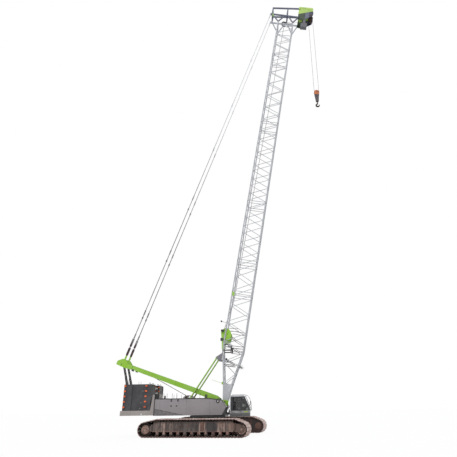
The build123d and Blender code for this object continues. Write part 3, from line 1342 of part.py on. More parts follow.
def operator_seat():
    left, right = OPERATOR_Y
    x0, x1, z0, z1 = CUSHION
    back0, back1, foot, top = BACKREST
    stem0, stem1, side = PEDESTAL
    seat = box(x0, x1, left, right, z0, z1) + box(back0, back1, left, right, foot, top)
    stem = box(stem0, stem1, left + side, right - side, CAB_FLOOR + CAB_WALL, z0 + PAST)
    keep("operator_seat", seat + stem)


def cab_bracket():
    """Two plates and a bar that hold the cab in front of the side housing."""
    nose_x, nose_z = SIDE_NOSE
    outline = ((SIDE_FRONT + BRACKET_GAP, BRACKET_LOW), (CAB_REAR, BRACKET_LOW), *BRACKET_SHAPE,
               (nose_x, nose_z - BITE))
    near_in, far_in = BRACKET_SIDES
    near = CAB_NEAR + near_in
    far = CAB_FAR - far_in
    x0, x1, z0, z1 = BRACKET_BAR
    holder = [plate(outline, near, near + BRACKET_PLATE), plate(outline, far, far + BRACKET_PLATE),
              box(x0, x1, near + BRACKET_PLATE - BITE, far + BITE, z0, z1)]
    keep("cab_bracket", joined(holder))


crawlers()
carbody()
turntable()
main_frame()
side_housings()
winches()
counterweight()
butt()
inserts()
head()
head_cover()
head_sheaves()
pendants()
backstops()
mast()
luffing_ropes()
hook_line()
hook()
cab_shell()
cab_door()
cab_glass()
operator_seat()
cab_bracket()
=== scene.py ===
from math import cos, hypot, pi, radians, sin

import bmesh
import bpy
from mathutils import Matrix, Vector


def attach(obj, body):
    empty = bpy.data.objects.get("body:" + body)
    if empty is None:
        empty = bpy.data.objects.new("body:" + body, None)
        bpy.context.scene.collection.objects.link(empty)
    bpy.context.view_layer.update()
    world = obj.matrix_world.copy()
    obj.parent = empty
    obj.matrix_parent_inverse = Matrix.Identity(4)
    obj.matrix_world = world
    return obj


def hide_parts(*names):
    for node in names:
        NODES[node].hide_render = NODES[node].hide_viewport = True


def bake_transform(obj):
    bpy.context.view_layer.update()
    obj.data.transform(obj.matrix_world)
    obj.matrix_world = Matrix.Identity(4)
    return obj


bl_info = {
    "name": "Crawler crane finishes",
    "version": (1, 0, 0),
    "blender": (4, 5, 0),
    "location": "View3D > Sidebar > Crane",
    "description": "Finishes, rigging and small fittings for the crawler crane model",
    "category": "Object",
}

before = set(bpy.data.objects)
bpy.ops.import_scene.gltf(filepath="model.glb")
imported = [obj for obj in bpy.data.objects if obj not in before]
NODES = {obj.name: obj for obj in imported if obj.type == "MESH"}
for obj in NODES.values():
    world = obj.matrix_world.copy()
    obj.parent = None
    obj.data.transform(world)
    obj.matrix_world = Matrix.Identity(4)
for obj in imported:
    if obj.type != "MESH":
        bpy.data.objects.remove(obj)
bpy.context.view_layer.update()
SIDES = (-1, 1)

# Places taken over from the part's source, in metres
TRACK_TURN = radians(-12.2)
TRACK_SIDE = 1.85
TRACK_CIRCLES = ((-2.4, 0.35, 0.35), (2.4, 0.35, 0.35), (-1.78, 0.68, 0.15), (2.08, 0.68, 0.15))
SHOE_WIDTH = 0.75
SHOE_PITCH = 0.16
BOOM_FOOT = Vector((0.97, 0.0, 1.525))
BOOM_LEAN = radians(8.87)
CHORD_HALF = 0.5575
MAST_FOOT = Vector((0.655, 0.0, 1.69))
MAST_RISE = radians(19.2)
STOP_LOWER = Vector((-0.849, 0.0, 1.7))
LUFF_DRUM = Vector((-0.96, 0.0, 1.53))
HOUSING_SIDE = 1.375
HOUSING_TOP = 1.735
CAB_SIDE = -1.6
CAB_SILL = 1.135

BOOM = Matrix.Translation(BOOM_FOOT) @ Matrix.Rotation(BOOM_LEAN, 4, "Y")
MAST = Matrix.Translation(MAST_FOOT) @ Matrix.Rotation(MAST_RISE, 4, "Y")
TRACK = Matrix.Rotation(TRACK_TURN, 4, "Z")


def on_boom(forward, side, up):
    """A point given along the boom, in the crane's frame."""
    return BOOM @ Vector((forward, side, up))


def on_mast(along, side, up):
    return MAST @ Vector((-along, side, up))


def on_track(x, y, z):
    return TRACK @ Vector((x, y, z))


def shade(red, green, blue):
    """A colour as the eye names it, turned to the linear values that nodes take."""
    parts = []
    for part in (red, green, blue):
        part /= 255
        parts.append(part / 12.92 if part <= 0.04045 else ((part + 0.055) / 1.055) ** 2.4)
    return (*parts, 1.0)


def lighter(colour, share):
    return tuple(part + (1 - part) * share for part in colour[:3]) + (1.0,)


def darker(colour, share):
    return tuple(part * (1 - share) for part in colour[:3]) + (1.0,)


# Settings that a user may change

def colour_setting(name, description, rgb):
    return bpy.props.FloatVectorProperty(
        name=name, description=description, subtype="COLOR", size=4, min=0, max=1, default=shade(*rgb))


def length_setting(name, description, metres):
    return bpy.props.FloatProperty(name=name, description=description, unit="LENGTH", min=0, default=metres)


class CranePaints(bpy.types.PropertyGroup):
    """The colours of the crane's finishes."""

    lime: colour_setting("Lime", "Mast, boom winch and backstops", (136, 185, 38))
    silver: colour_setting("Silver grey", "Lattice boom", (175, 176, 180))
    panel: colour_setting("Panel grey", "Side housings", (140, 134, 136))
    deck: colour_setting("Deck black", "Turntable and carbody", (38, 40, 43))
    ballast: colour_setting("Ballast grey", "Counterweight slabs", (48, 46, 50))
    lug: colour_setting("Lug orange", "Lifting lugs of the slabs", (240, 112, 52))
    tray: colour_setting("Tray grey", "Counterweight tray", (152, 144, 140))
    head: colour_setting("Head blue grey", "Boom head", (84, 88, 106))
    rust: colour_setting("Rust", "Rust on bare steel", (124, 86, 76))
    shoe: colour_setting("Shoe steel", "Track shoes", (176, 148, 138))


class CraneSizes(bpy.types.PropertyGroup):
    """The sizes of what the scene adds."""

    rope: length_setting("Rope", "Diameter of the hoist ropes", 0.016)
    rail: length_setting("Rail", "Height of the posts on the housings", 0.23)
    bolt: length_setting("Bolt", "Across the corners of a bolt's head", 0.036)


# Nodes written as expressions

def maths(operation, reflected=False):
    """A method that adds one Math node."""
    def method(self, other=0.0):
        first, second = (other, self) if reflected else (self, other)
        return self.graph.add("ShaderNodeMath", {0: first, 1: second}, operation=operation)
    return method


class Signal:
    """What a node puts out; arithmetic on it adds Math nodes."""

    __add__ = maths("ADD")
    __radd__ = maths("ADD", True)
    __sub__ = maths("SUBTRACT")
    __rsub__ = maths("SUBTRACT", True)
    __mul__ = maths("MULTIPLY")
    __rmul__ = maths("MULTIPLY", True)
    __truediv__ = maths("DIVIDE")
    __abs__ = maths("ABSOLUTE")
    above = maths("GREATER_THAN")
    below = maths("LESS_THAN")
    most = maths("MAXIMUM")
    wave = maths("SINE")

    def __init__(self, graph, socket):
        self.graph = graph
        self.socket = socket

    def over(self, low, high):
        """Rises smoothly from 0 at low to 1 at high."""
        values = {"Value": self, "From Min": low, "From Max": high, "To Min": 0.0, "To Max": 1.0}
        return self.graph.add("ShaderNodeMapRange", values, interpolation_type="SMOOTHSTEP")

    def __getitem__(self, name):
        """Another output of the same node."""
        return Signal(self.graph, self.socket.node.outputs[name])


class Graph:
    """A node tree being made."""

    def __init__(self, tree):
        self.tree = tree

    def add(self, kind, inputs=None, output=0, **settings):
        """A node of a kind, with its settings made first, then the values or links of its sockets."""
        node = self.tree.nodes.new(kind)
        for name, value in settings.items():
            setattr(node, name, value)
        for key, value in (inputs or {}).items():
            if isinstance(value, Signal):
                self.tree.links.new(value.socket, node.inputs[key])
            else:
                node.inputs[key].default_value = value
        return Signal(self, node.outputs[output]) if len(node.outputs) else None

    def gather(self, parts):
        """Geometry of several nodes as one."""
        both = self.add("GeometryNodeJoinGeometry")
        for part in parts:
            self.tree.links.new(part.socket, both.socket.node.inputs[0])
        return both

    def cylinder(self, sides, radius, depth, up=0.0):
        """An upright cylinder, moved up."""
        values = {"Vertices": sides, "Radius": radius, "Depth": depth}
        shape = self.add("GeometryNodeMeshCylinder", values)
        shift = self.add("ShaderNodeCombineXYZ", {"Z": up})
        return self.add("GeometryNodeTransform", {"Geometry": shape, "Translation": shift})


def tone(colour):
    """What a colour input takes, from a signal, a setting or three values up to 255."""
    if isinstance(colour, Signal):
        return colour
    colour = tuple(colour)
    return shade(*colour) if len(colour) == 3 else colour


DUST = (150, 138, 126)
GRIME = (58, 52, 50)
RUST_DARK = (74, 48, 42)


class Finish(Graph):
    """A material being made, with the patterns that the crane's finishes share."""

    def __init__(self, name):
        self.material = bpy.data.materials.new(name)
        self.material.use_nodes = True
        super().__init__(self.material.node_tree)
        self.tree.nodes.clear()
        self.place = self.add("ShaderNodeTexCoord", output="Object")
        self.x = self.add("ShaderNodeSeparateXYZ", {0: self.place})
        self.y = self.x["Y"]
        self.z = self.x["Z"]

    def stretched(self, scale, turn=0.0):
        values = {"Vector": self.place, "Scale": scale, "Rotation": (0, 0, turn)}
        return self.add("ShaderNodeMapping", values)

    def noise(self, scale, detail=3.0, place=None, rough=0.55):
        values = {"Vector": place or self.place, "Scale": scale, "Detail": detail, "Roughness": rough}
        return self.add("ShaderNodeTexNoise", values)

    def blend(self, first, second, amount):
        values = {0: amount, 6: tone(first), 7: tone(second)}
        return self.add("ShaderNodeMix", values, 2, data_type="RGBA", clamp_factor=True)

    def layer(self, colour, amount):
        """Lays a colour over what is there."""
        self.colour = self.blend(self.colour, colour, amount)

    def facing_up(self):
        normal = self.add("ShaderNodeTexCoord", output="Normal")
        return self.add("ShaderNodeSeparateXYZ", {0: normal}, "Z").over(0.5, 0.95)

    def edges(self, radius):
        """1 on the outer and inner edges, where a rounded normal leaves the real one."""
        rounded = self.add("ShaderNodeBevel", {"Radius": radius}, samples=4)
        flat = self.add("ShaderNodeNewGeometry", output="Normal")
        same = self.add("ShaderNodeVectorMath", {0: rounded, 1: flat}, "Value", operation="DOT_PRODUCT")
        return (1.0 - same).over(0.01, 0.12)

    def coat(self, colour, faded, dust=0.25, grime=0.3, chips=0.5):
        """Sprayed paint that has stood outdoors: faded, run with dirt, dusty on top and chipped."""
        cloud = self.noise(1.7, 6)
        fine = self.noise(60, 3)
        runs = self.noise(3.0, 4, self.stretched((4, 4, 0.35)))
        worn = self.edges(0.008) * self.noise(14, 4).over(0.5, 0.66) * chips
        self.colour = self.blend(colour, faded, cloud.over(0.35, 0.7))
        self.layer(GRIME, runs.over(0.55, 0.8) * grime)
        self.layer(DUST, self.facing_up() * cloud.over(0.3, 0.6) * dust)
        self.layer(RUST_DARK, worn)
        self.rough = 0.38 + cloud * 0.2 + worn * 0.3
        self.height = fine * 0.25 + runs * 0.3 - worn * 0.6
        return self

    def close(self, rough, height, depth=0.002, metal=0.0, rounding=0.0, coat=0.0, alpha=1.0):
        """Wires the colour, the roughness and the relief into the shader."""
        relief = {"Height": height, "Distance": depth, "Strength": 0.6}
        if rounding:
            relief["Normal"] = self.add("ShaderNodeBevel", {"Radius": rounding}, samples=4)
        shader = self.add("ShaderNodeBsdfPrincipled", {
            "Base Color": self.colour, "Roughness": rough, "Metallic": metal, "Coat Weight": coat,
            "Alpha": alpha, "Normal": self.add("ShaderNodeBump", relief)})
        self.add("ShaderNodeOutputMaterial", {0: shader})
        return self.material

    def close_coat(self, rounding=0.004):
        return self.close(self.rough, self.height, rounding=rounding)


def painted(name, colour, faded, **choices):
    return Finish(name).coat(colour, faded, **choices).close_coat()


def boom_axes(look):
    """How far forward and how far up the boom each point lies, from the foot pins."""
    x = look.x - BOOM_FOOT.x
    z = look.z - BOOM_FOOT.z
    c = cos(BOOM_LEAN)
    s = sin(BOOM_LEAN)
    return x * c - z * s, x * s + z * c


def track_axes(look):
    """Along and across the crawlers, which stand turned under the crane."""
    c = cos(TRACK_TURN)
    s = sin(TRACK_TURN)
    return look.x * c + look.y * s, look.y * c - look.x * s


def boom_paint(paints):
    """Silver grey, darker on the lower sections, with the lime collar round the foot pins."""
    look = Finish("boom_paint").coat(paints.silver, lighter(paints.silver, 0.25))
    forward, up = boom_axes(look)
    look.layer(darker(paints.silver, 0.3), up.above(0.93) * (0.3 - up.over(16.0, 24.0) * 0.3))
    look.layer((116, 112, 120), forward.below(-0.52) * up.above(1.95) * up.below(2.62))
    look.layer(paints.lime, up.below(0.12))
    return look.close_coat(0.006)


def frame_paint(paints):
    """Grey girders, lime round the boom's foot pins."""
    look = Finish("frame_paint").coat((92, 92, 98), (74, 74, 78), dust=0.35)
    across = look.x - BOOM_FOOT.x
    rise = look.z - BOOM_FOOT.z
    look.layer(paints.lime, (across * across + rise * rise).below(0.0289))
    return look.close_coat()


def mast_paint(paints):
    """Lime, with painted shade in the pocket under the foot end."""
    look = Finish("mast_paint").coat(paints.lime, lighter(paints.lime, 0.05), grime=0.22)
    # Painted shade: dark lime in the pocket under the foot end
    look.layer((58, 62, 50), abs(look.x + 0.01).below(0.065) * look.z.below(1.925) * 0.9)
    return look.close_coat()


def backstop_paint(paints):
    """Lime tubes, with painted shade along the lower side."""
    look = Finish("backstop_paint").coat(paints.lime, lighter(paints.lime, 0.12), grime=0.18)
    way = (on_boom(-0.8, 0, 2.1) - STOP_LOWER).normalized()
    below = (look.x - STOP_LOWER.x) * way.z - (look.z - STOP_LOWER.z) * way.x
    # Painted shade along the lower side of the tubes
    look.layer((44, 50, 36), below.over(0.014, 0.022))
    return look.close_coat(0.0)


def head_paint(paints):
    """Blue grey beams, a painted highlight on the lower far struts, and cheeks in two greens that end in
    blue grey.
    """
    look = Finish("head_paint").coat(paints.head, (98, 102, 120), chips=0.4)
    forward, up = boom_axes(look)
    cheek = forward.above(0.875)
    lift = up - (28.3 + (forward - 1.06) * 0.395)
    cloud = look.noise(4.0, 5).over(0.4, 0.65)
    dark_green = look.blend((26, 44, 28), (58, 80, 46), cloud)
    pale_green = look.blend((178, 204, 104), (150, 186, 84), cloud)
    look.layer(dark_green, cheek * forward.below(1.42) * lift.below(0.0))
    look.layer((44, 46, 72), forward.above(1.72) * lift.below(0.0))
    look.layer(pale_green, cheek * lift.above(0.0))
    # Painted highlight: only the far side's lower struts are painted pale
    look.layer((190, 192, 198), forward.below(0.87) * up.below(28.2) * look.y.above(0.25))
    return look.close_coat(0.006)


def panel_paint(paints):
    """Side panels, with painted shade on the wedge along their rear foot."""
    look = Finish("panel_paint").coat(paints.panel, darker(paints.panel, 0.12), grime=0.22, chips=0.3)
    # Painted shade on the wedge along the panels' rear foot
    wedge = (look.z + look.x * 0.2).below(0.774) * abs(look.y).above(1.36)
    look.layer((98, 94, 95), wedge * look.noise(7.0, 4).over(0.2, 0.6))
    return look.close_coat()


def lower_cab(look, first, second):
    """Lays the grey body below the windows, with painted shade at its foot."""
    body = look.blend(first, second, look.noise(6.0, 5).over(0.35, 0.65))
    # Painted shade: darker towards the foot of the body
    body = look.blend(body, (84, 85, 84), 1.0 - (look.z + look.noise(5.0, 4) * 0.08).over(1.05, 1.1))
    look.layer(body, look.z.below(CAB_SILL))


def cab_paint():
    """Pale roof and pillars, black round the near side's windows."""
    look = Finish("cab_paint").coat((186, 187, 190), (160, 161, 164), dust=0.3)
    near = look.y.below(-1.588)
    lower_cab(look, (150, 150, 150), (122, 121, 121))
    look.layer((36, 37, 42), near * look.z.above(CAB_SILL) * look.z.below(1.782) * look.x.above(1.352))
    stripe = near * look.z.above(1.06) * look.z.below(1.115) * look.x.above(2.0) * look.x.below(2.19)
    look.layer((152, 168, 84), stripe)
    return look.close_coat(0.006)


def door_paint():
    """Black round the window."""
    look = Finish("door_paint").coat((38, 39, 44), (50, 51, 56), chips=0.2)
    lower_cab(look, (146, 146, 146), (118, 117, 117))
    return look.close_coat()


def ballast_paint(paints):
    """Cast slabs with orange lifting lugs and painted shade in a groove down the side."""
    look = Finish("ballast_paint").coat(paints.ballast, lighter(paints.ballast, 0.05), chips=0.3)
    side = abs(look.y)
    # Painted shade in the groove down the side of the stacks
    look.layer((36, 35, 40), abs(look.x + 3.612).below(0.033) * side.above(1.3) * 0.9)
    lug = look.blend(paints.lug, (176, 78, 44), look.noise(20).over(0.4, 0.6))
    lug = look.blend(lug, (96, 52, 40), look.noise(38.0, 4).over(0.55, 0.7))
    rows = abs(look.x + 4.0).below(0.0502).most(abs(look.x + 2.932).below(0.0502))
    look.layer(lug, rows * side.above(1.3302))
    stains = look.noise(2.4, 6, look.stretched((2.2, 2.2, 0.5))).over(0.5, 0.75)
    look.layer((104, 100, 102), stains * 0.35)
    return look.close(look.rough + 0.15, look.height + look.noise(32, 5) * 0.8, 0.006, rounding=0.008)


def crawler_steel():
    """Crawler frames: dirt in streaks that run down, painted shade in a pocket and along the top, a reddish
    lower edge.
    """
    look = Finish("crawler_steel")
    along, across = track_axes(look)
    place = look.add("ShaderNodeCombineXYZ", {"X": along, "Y": across, "Z": look.z})
    tall = look.add("ShaderNodeMapping", {"Vector": place, "Scale": (7.5, 7.5, 0.9)})
    patches = look.noise(2.1, 6, place)
    streaks = look.noise(1.0, 6, tall, 0.65)
    grain = look.noise(70, 4)
    look.colour = look.blend((158, 134, 124), (112, 97, 91), patches.over(0.38, 0.62))
    look.layer((84, 77, 74), along.over(-0.85, -0.5) * (1.0 - along.over(0.3, 0.42)) * 0.85)
    look.layer((54, 48, 46), streaks.over(0.46, 0.58) * 0.85)
    look.layer((172, 132, 112), along.over(1.2, 1.5) * patches.over(0.46, 0.6) * 0.4)
    # Painted shade in the dark pocket of the frame
    look.layer((44, 44, 46), along.over(0.68, 0.76) * (1.0 - along.over(1.14, 1.26)) * 0.9)
    look.layer((70, 58, 54), abs(along + 0.15).over(1.95, 2.25) * 0.7)
    look.layer((138, 96, 86), (1.0 - look.z.over(0.25, 0.31)) * streaks.over(0.42, 0.6) * 0.7)
    # Painted shadow: darker along the top of the frame
    look.layer((66, 54, 50), look.z.over(0.56, 0.68) * 0.7)
    look.layer((178, 152, 142), look.edges(0.01) * grain.over(0.4, 0.6) * 0.5)
    return look.close(0.7 + grain * 0.2, grain * 0.6 + streaks * 0.6, 0.005, 0.1, 0.005)


def wheel_steel():
    """End wheels: a dusty pink hub cover in a dark rim."""
    look = Finish("wheel_steel")
    along, across = track_axes(look)
    rise = look.z - 0.35
    reach = abs(along) - 2.4
    hub = (reach * reach + rise * rise).below(0.0412)
    cloud = look.noise(5.0, 6)
    grain = look.noise(60, 4)
    look.colour = look.blend((58, 46, 43), (44, 36, 34), cloud.over(0.4, 0.6))
    cover = look.blend((170, 136, 122), (134, 106, 96), cloud.over(0.4, 0.62))
    look.layer(cover, hub * abs(across).above(1.95))
    return look.close(0.7 + grain * 0.2, grain + cloud * 0.4, 0.004, 0.1, 0.006)


def rusty_steel(name, base, rust, light, streaks=0.3):
    """Bare or thinly painted steel, gone brown, with streaks running down."""
    look = Finish(name)
    cloud = look.noise(2.2, 7)
    runs = look.noise(5.0, 5, look.stretched((5, 5, 0.5), TRACK_TURN))
    grain = look.noise(70, 4)
    look.colour = look.blend(base, rust, cloud.over(0.34, 0.62))
    look.layer(RUST_DARK, runs.over(0.52, 0.72) * streaks)
    look.layer(light, look.edges(0.01) * grain.over(0.4, 0.6) * 0.6)
    look.layer(DUST, look.facing_up() * 0.35)
    return look.close(0.62 + grain * 0.25, grain * 0.6 + runs * 0.5, 0.004, 0.25, 0.005)


def attribute(look, name):
    return look.add("ShaderNodeAttribute", output="Fac", attribute_name=name)


def shoe_steel(paints):
    """Track shoes: pale where they tread, dark towards the links; depth is kept by the shoe's mesh."""
    look = Finish("shoe_steel")
    cloud = look.noise(3.0, 6)
    grain = look.noise(48, 5)
    outer = attribute(look, "depth").over(-0.044, -0.032)
    tread = look.blend(paints.shoe, lighter(paints.shoe, 0.22), cloud.over(0.35, 0.6))
    tread = look.blend(tread, paints.rust, grain.over(0.52, 0.7) * 0.7)
    look.colour = look.blend((54, 38, 35), (78, 58, 52), cloud.over(0.4, 0.65))
    look.layer(tread, outer)
    look.layer((204, 180, 170), look.edges(0.012) * grain.over(0.35, 0.6) * outer * 0.5)
    look.layer((92, 68, 62), (1.0 - look.z.over(0.04, 0.12)) * 0.85)
    return look.close(0.6 + grain * 0.3, grain * 0.8 + cloud * 0.2, 0.005, 0.2)


def rope_steel(name, colour):
    """Strands that wind round the rope; along and around are written by the rope's tree."""
    look = Finish(name)
    turns = attribute(look, "around") * 6.0 + attribute(look, "along") / 0.11
    strand = (turns * (2 * pi)).wave() * 0.5 + 0.5
    look.colour = look.blend(colour, darker(shade(*colour), 0.6), strand.over(0.7, 0.05))
    look.layer(GRIME, look.noise(1.5, 4).over(0.45, 0.7) * 0.5)
    return look.close(0.42 + strand * 0.2, strand, 0.003, 0.6)


def window_glass():
    """Dark glass that lets the far windows show through a little, with painted reflections in pale patches.
    """
    look = Finish("window_glass")
    dirt = look.noise(5.0, 6)
    # Painted reflection: pale patches in a regular pattern over the dark glass
    painted_reflection = ((look.x * 15.0).wave() * (look.z * 17.0).wave() + look.noise(3.0, 3) * 0.6).over(0.45, 0.85)
    look.colour = look.blend((20, 22, 26), (122, 130, 124), painted_reflection * 0.8)
    alpha = 0.84 + dirt.over(0.45, 0.75) * 0.12
    return look.close(0.06 + dirt.over(0.5, 0.8) * 0.25, look.noise(2.0, 2), 0.001, coat=0.5, alpha=alpha)


def rubber():
    look = Finish("rubber")
    grain = look.noise(90, 3)
    look.colour = look.blend((24, 24, 26), (48, 47, 47), look.noise(6, 4).over(0.45, 0.7))
    return look.close(0.6 + grain * 0.2, grain)


def pendant_steel():
    """Stay bars: dark and rusty in the lowest lengths, grey above."""
    look = Finish("pendant_steel")
    cloud = look.noise(2.0, 6).over(0.4, 0.6)
    grain = look.noise(60, 3)
    high = look.blend((104, 100, 104), (134, 130, 134), cloud)
    high = look.blend(high, (196, 196, 200), look.z.over(10.0, 24.0))
    look.colour = look.blend((50, 32, 34), (76, 48, 46), cloud)
    look.layer(high, look.z.over(4.5, 4.7))
    return look.close(0.5 + grain * 0.2, grain, metal=0.3)


def hook_paint():
    """Orange-brown cheeks round the sheave, dark below."""
    look = Finish("hook_paint")
    cloud = look.noise(9.0, 6).over(0.4, 0.65)
    grain = look.noise(50, 3)
    look.colour = look.blend((62, 60, 68), (84, 76, 76), cloud)
    look.layer(look.blend((196, 112, 62), (148, 84, 56), cloud), look.z.over(21.74, 21.8))
    return look.close(0.5 + grain * 0.2, grain, metal=0.1, rounding=0.006)


def make_finishes(paints):
    """Every finish by the name that the pieces use."""
    return {
        "lime": painted("lime_paint", paints.lime, lighter(paints.lime, 0.12), grime=0.18),
        "boom": boom_paint(paints),
        "panel": panel_paint(paints),
        "deck": painted("deck_paint", paints.deck, lighter(paints.deck, 0.05), dust=0.4),
        "frame": frame_paint(paints),
        "mast": mast_paint(paints),
        "backstop": backstop_paint(paints),
        "tray": painted("tray_paint", paints.tray, darker(paints.tray, 0.15), grime=0.35),
        "head": head_paint(paints),
        "cover": painted("cover_paint", (178, 204, 104), (150, 186, 84), grime=0.15),
        "cab": cab_paint(),
        "door": door_paint(),
        "pale": painted("pale_paint", (206, 206, 204), (180, 180, 178), grime=0.2),
        "patina": painted("patina_paint", (88, 98, 88), (66, 74, 70)),
        "orange": painted("orange_paint", paints.lug, (176, 78, 44)),
        "black": painted("black_paint", (34, 35, 38), (50, 50, 53), dust=0.3),
        "dark": rusty_steel("dark_steel", (50, 46, 46), (70, 53, 49), (88, 76, 70)),
        "crawler": crawler_steel(),
        "wheel": wheel_steel(),
        "patch": rusty_steel("patch_steel", (122, 88, 76), (96, 70, 62), (160, 130, 116)),
        "drum": rusty_steel("drum_steel", (70, 68, 70), (84, 66, 60), (150, 146, 142), 0.2),
        "ballast": ballast_paint(paints),
        "shoe": shoe_steel(paints),
        "rope": rope_steel("rope_steel", (58, 58, 62)),
        "pale_rope": rope_steel("pale_rope_steel", (150, 150, 154)),
        "dark_rope": rope_steel("dark_rope_steel", (48, 47, 50)),
        "glass": window_glass(),
        "rubber": rubber(),
        "pendant": pendant_steel(),
        "hook": hook_paint(),
        "bolt": rusty_steel("bolt_steel", (110, 104, 100), (96, 74, 66), (170, 164, 158), 0.1),
    }


# Which nodes of the frame take which finish
NODE_FINISHES = {
    "deck": "carbody turntable cab_bracket",
    "shoe": "track_right track_left",
    "crawler": "crawler_frame_right crawler_frame_left",
    "wheel": "end_wheels_right end_wheels_left",
    "dark": "track_rollers_right track_rollers_left engine mast_sheaves hook",
    "frame": "main_frame winch_stands",
    "panel": "side_housing engine_house",
    "drum": "luff_drum hoist_drum head_sheaves hook_sheave",
    "lime": "boom_drum",
    "tray": "counterweight_tray",
    "ballast": "counterweight_right counterweight_left",
    "boom": "boom_butt boom_insert_1 boom_insert_2 boom_insert_3 boom_insert_4 boom_top",
    "head": "boom_head",
    "cover": "head_cover",
    "pendant": "pendants",
    "backstop": "backstops",
    "mast": "mast",
    "dark_rope": "luffing_ropes",
    "rope": "hoist_ropes",
    "hook": "hook_block",
    "cab": "cab_shell",
    "door": "cab_door",
    "glass": "cab_glass",
    "rubber": "operator_seat",
}
FINISHES = {}


# Mesh work

def stand(name, data):
    """Puts an object into the scene."""
    thing = bpy.data.objects.new(name, data)
    bpy.context.scene.collection.objects.link(thing)
    return thing


def block(bm, low, high, chamfer=0.0):
    """A box between two corners, its edges cut back."""
    low, high = (Vector(corner) for corner in zip(*map(sorted, zip(low, high))))
    made = bmesh.ops.create_cube(bm, size=1)
    place = Matrix.Translation((low + high) / 2) @ Matrix.Diagonal((*(high - low), 1))
    bmesh.ops.transform(bm, matrix=place, verts=made["verts"])
    if chamfer:
        edges = list({edge for vert in made["verts"] for edge in vert.link_edges})
        bmesh.ops.bevel(bm, geom=edges, offset=chamfer, segments=1, affect="EDGES")


def slab(bm, outline, start, end):
    """An outline in x and z, given thickness along y."""
    rings = [[bm.verts.new((x, y, z)) for x, z in outline] for y in sorted((start, end))]
    bm.faces.new(rings[0])
    bm.faces.new(rings[1][::-1])
    for k in range(len(outline)):
        bm.faces.new((rings[0][k - 1], rings[1][k - 1], rings[1][k], rings[0][k]))


def lathe(bm, profile, foot, way, sides=16):
    """A closed turned shape; the profile is (along, radius) pairs, from foot in the direction way."""
    turn = Vector((0, 0, 1)).rotation_difference(Vector(way).normalized()).to_matrix()
    rings = []
    for along, radius in profile:
        angles = [2 * pi * k / sides for k in range(sides)]
        ring = [Vector((radius * cos(a), radius * sin(a), along)) for a in angles]
        rings.append([bm.verts.new(Vector(foot) + turn @ point) for point in ring])
    for low, high in zip(rings, rings[1:]):
        for k in range(sides):
            bm.faces.new((low[k - 1], low[k], high[k], high[k - 1]))
    bm.faces.new(rings[0][::-1])
    bm.faces.new(rings[-1])


def rod(bm, a, b, radius, sides=12):
    """A round rod with slightly rounded ends."""
    way = Vector(b) - Vector(a)
    soft = min(radius * 0.3, way.length * 0.2)
    ends = ((0, radius - soft), (soft, radius), (way.length - soft, radius), (way.length, radius - soft))
    lathe(bm, ends, a, way, sides)


def bent_rod(bm, points, radius, sides=10):
    """Rods one after the other, with a ball-like knuckle at each bend."""
    for a, b in zip(points, points[1:]):
        rod(bm, a, b, radius, sides)
    for point in points[1:-1]:
        place = Matrix.Translation(Vector(point))
        bmesh.ops.create_icosphere(bm, subdivisions=2, radius=radius * 1.02, matrix=place)


def settle(name, mesh, body):
    """Makes a finished mesh a piece of the crane."""
    mesh.name = name
    mesh.shade_smooth()
    mesh.set_sharp_from_angle(angle=radians(32))
    piece = stand(name, mesh)
    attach(piece, body)
    return piece


def close_piece(name, bm, finish, body, place=None):
    """Makes a piece of what bm holds, moved from its own frame where a place is given."""
    if place:
        bmesh.ops.transform(bm, matrix=place, verts=bm.verts)
    mesh = close_mesh(name, bm)
    mesh.materials.append(FINISHES[finish])
    return settle(name, mesh, body)


def close_mesh(name, bm):
    bmesh.ops.recalc_face_normals(bm, faces=bm.faces)
    mesh = bpy.data.meshes.new(name)
    bm.to_mesh(mesh)
    bm.free()
    return mesh


# Geometry Nodes

def new_tree(name, inputs):
    """An empty Geometry Nodes tree with named inputs, and its graph and group inputs."""
    tree = bpy.data.node_groups.new(name, "GeometryNodeTree")
    for label, kind in {"Geometry": "Geometry", **inputs, "Finish": "Material"}.items():
        tree.interface.new_socket(label, in_out="INPUT", socket_type="NodeSocket" + kind)
    tree.interface.new_socket("Geometry", in_out="OUTPUT", socket_type="NodeSocketGeometry")
    graph = Graph(tree)
    return graph, graph.add("NodeGroupInput")


def end_tree(graph, shape, start):
    """Realize Instances and Set Material, which every tree ends in."""
    real = graph.add("GeometryNodeRealizeInstances", {0: shape})
    dressed = graph.add("GeometryNodeSetMaterial", {"Geometry": real, "Material": start["Finish"]})
    graph.add("NodeGroupOutput", {0: dressed})
    return graph.tree


def set_on(graph, points, instance, start):
    """Ends a tree with a copy of the instance on every point."""
    row = graph.add("GeometryNodeInstanceOnPoints", {"Points": points, "Instance": instance})
    return end_tree(graph, row, start)


def grow(tree, finish, values, points=(), edges=()):
    """Runs a tree once over points and edges, and returns the plain mesh that comes out."""
    seed = bpy.data.meshes.new("seed")
    seed.from_pydata([tuple(point) for point in points], edges, [])
    holder = stand("maker", seed)
    modifier = holder.modifiers.new("Shape", "NODES")
    modifier.node_group = tree
    values = {**values, "Finish": FINISHES[finish]}
    for item in tree.interface.items_tree:
        if item.in_out == "INPUT" and item.name in values:
            modifier[item.identifier] = values[item.name]
    depsgraph = bpy.context.evaluated_depsgraph_get()
    mesh = bpy.data.meshes.new_from_object(holder.evaluated_get(depsgraph), depsgraph=depsgraph)
    holder.modifiers.remove(modifier)
    bpy.data.objects.remove(holder)
    return mesh


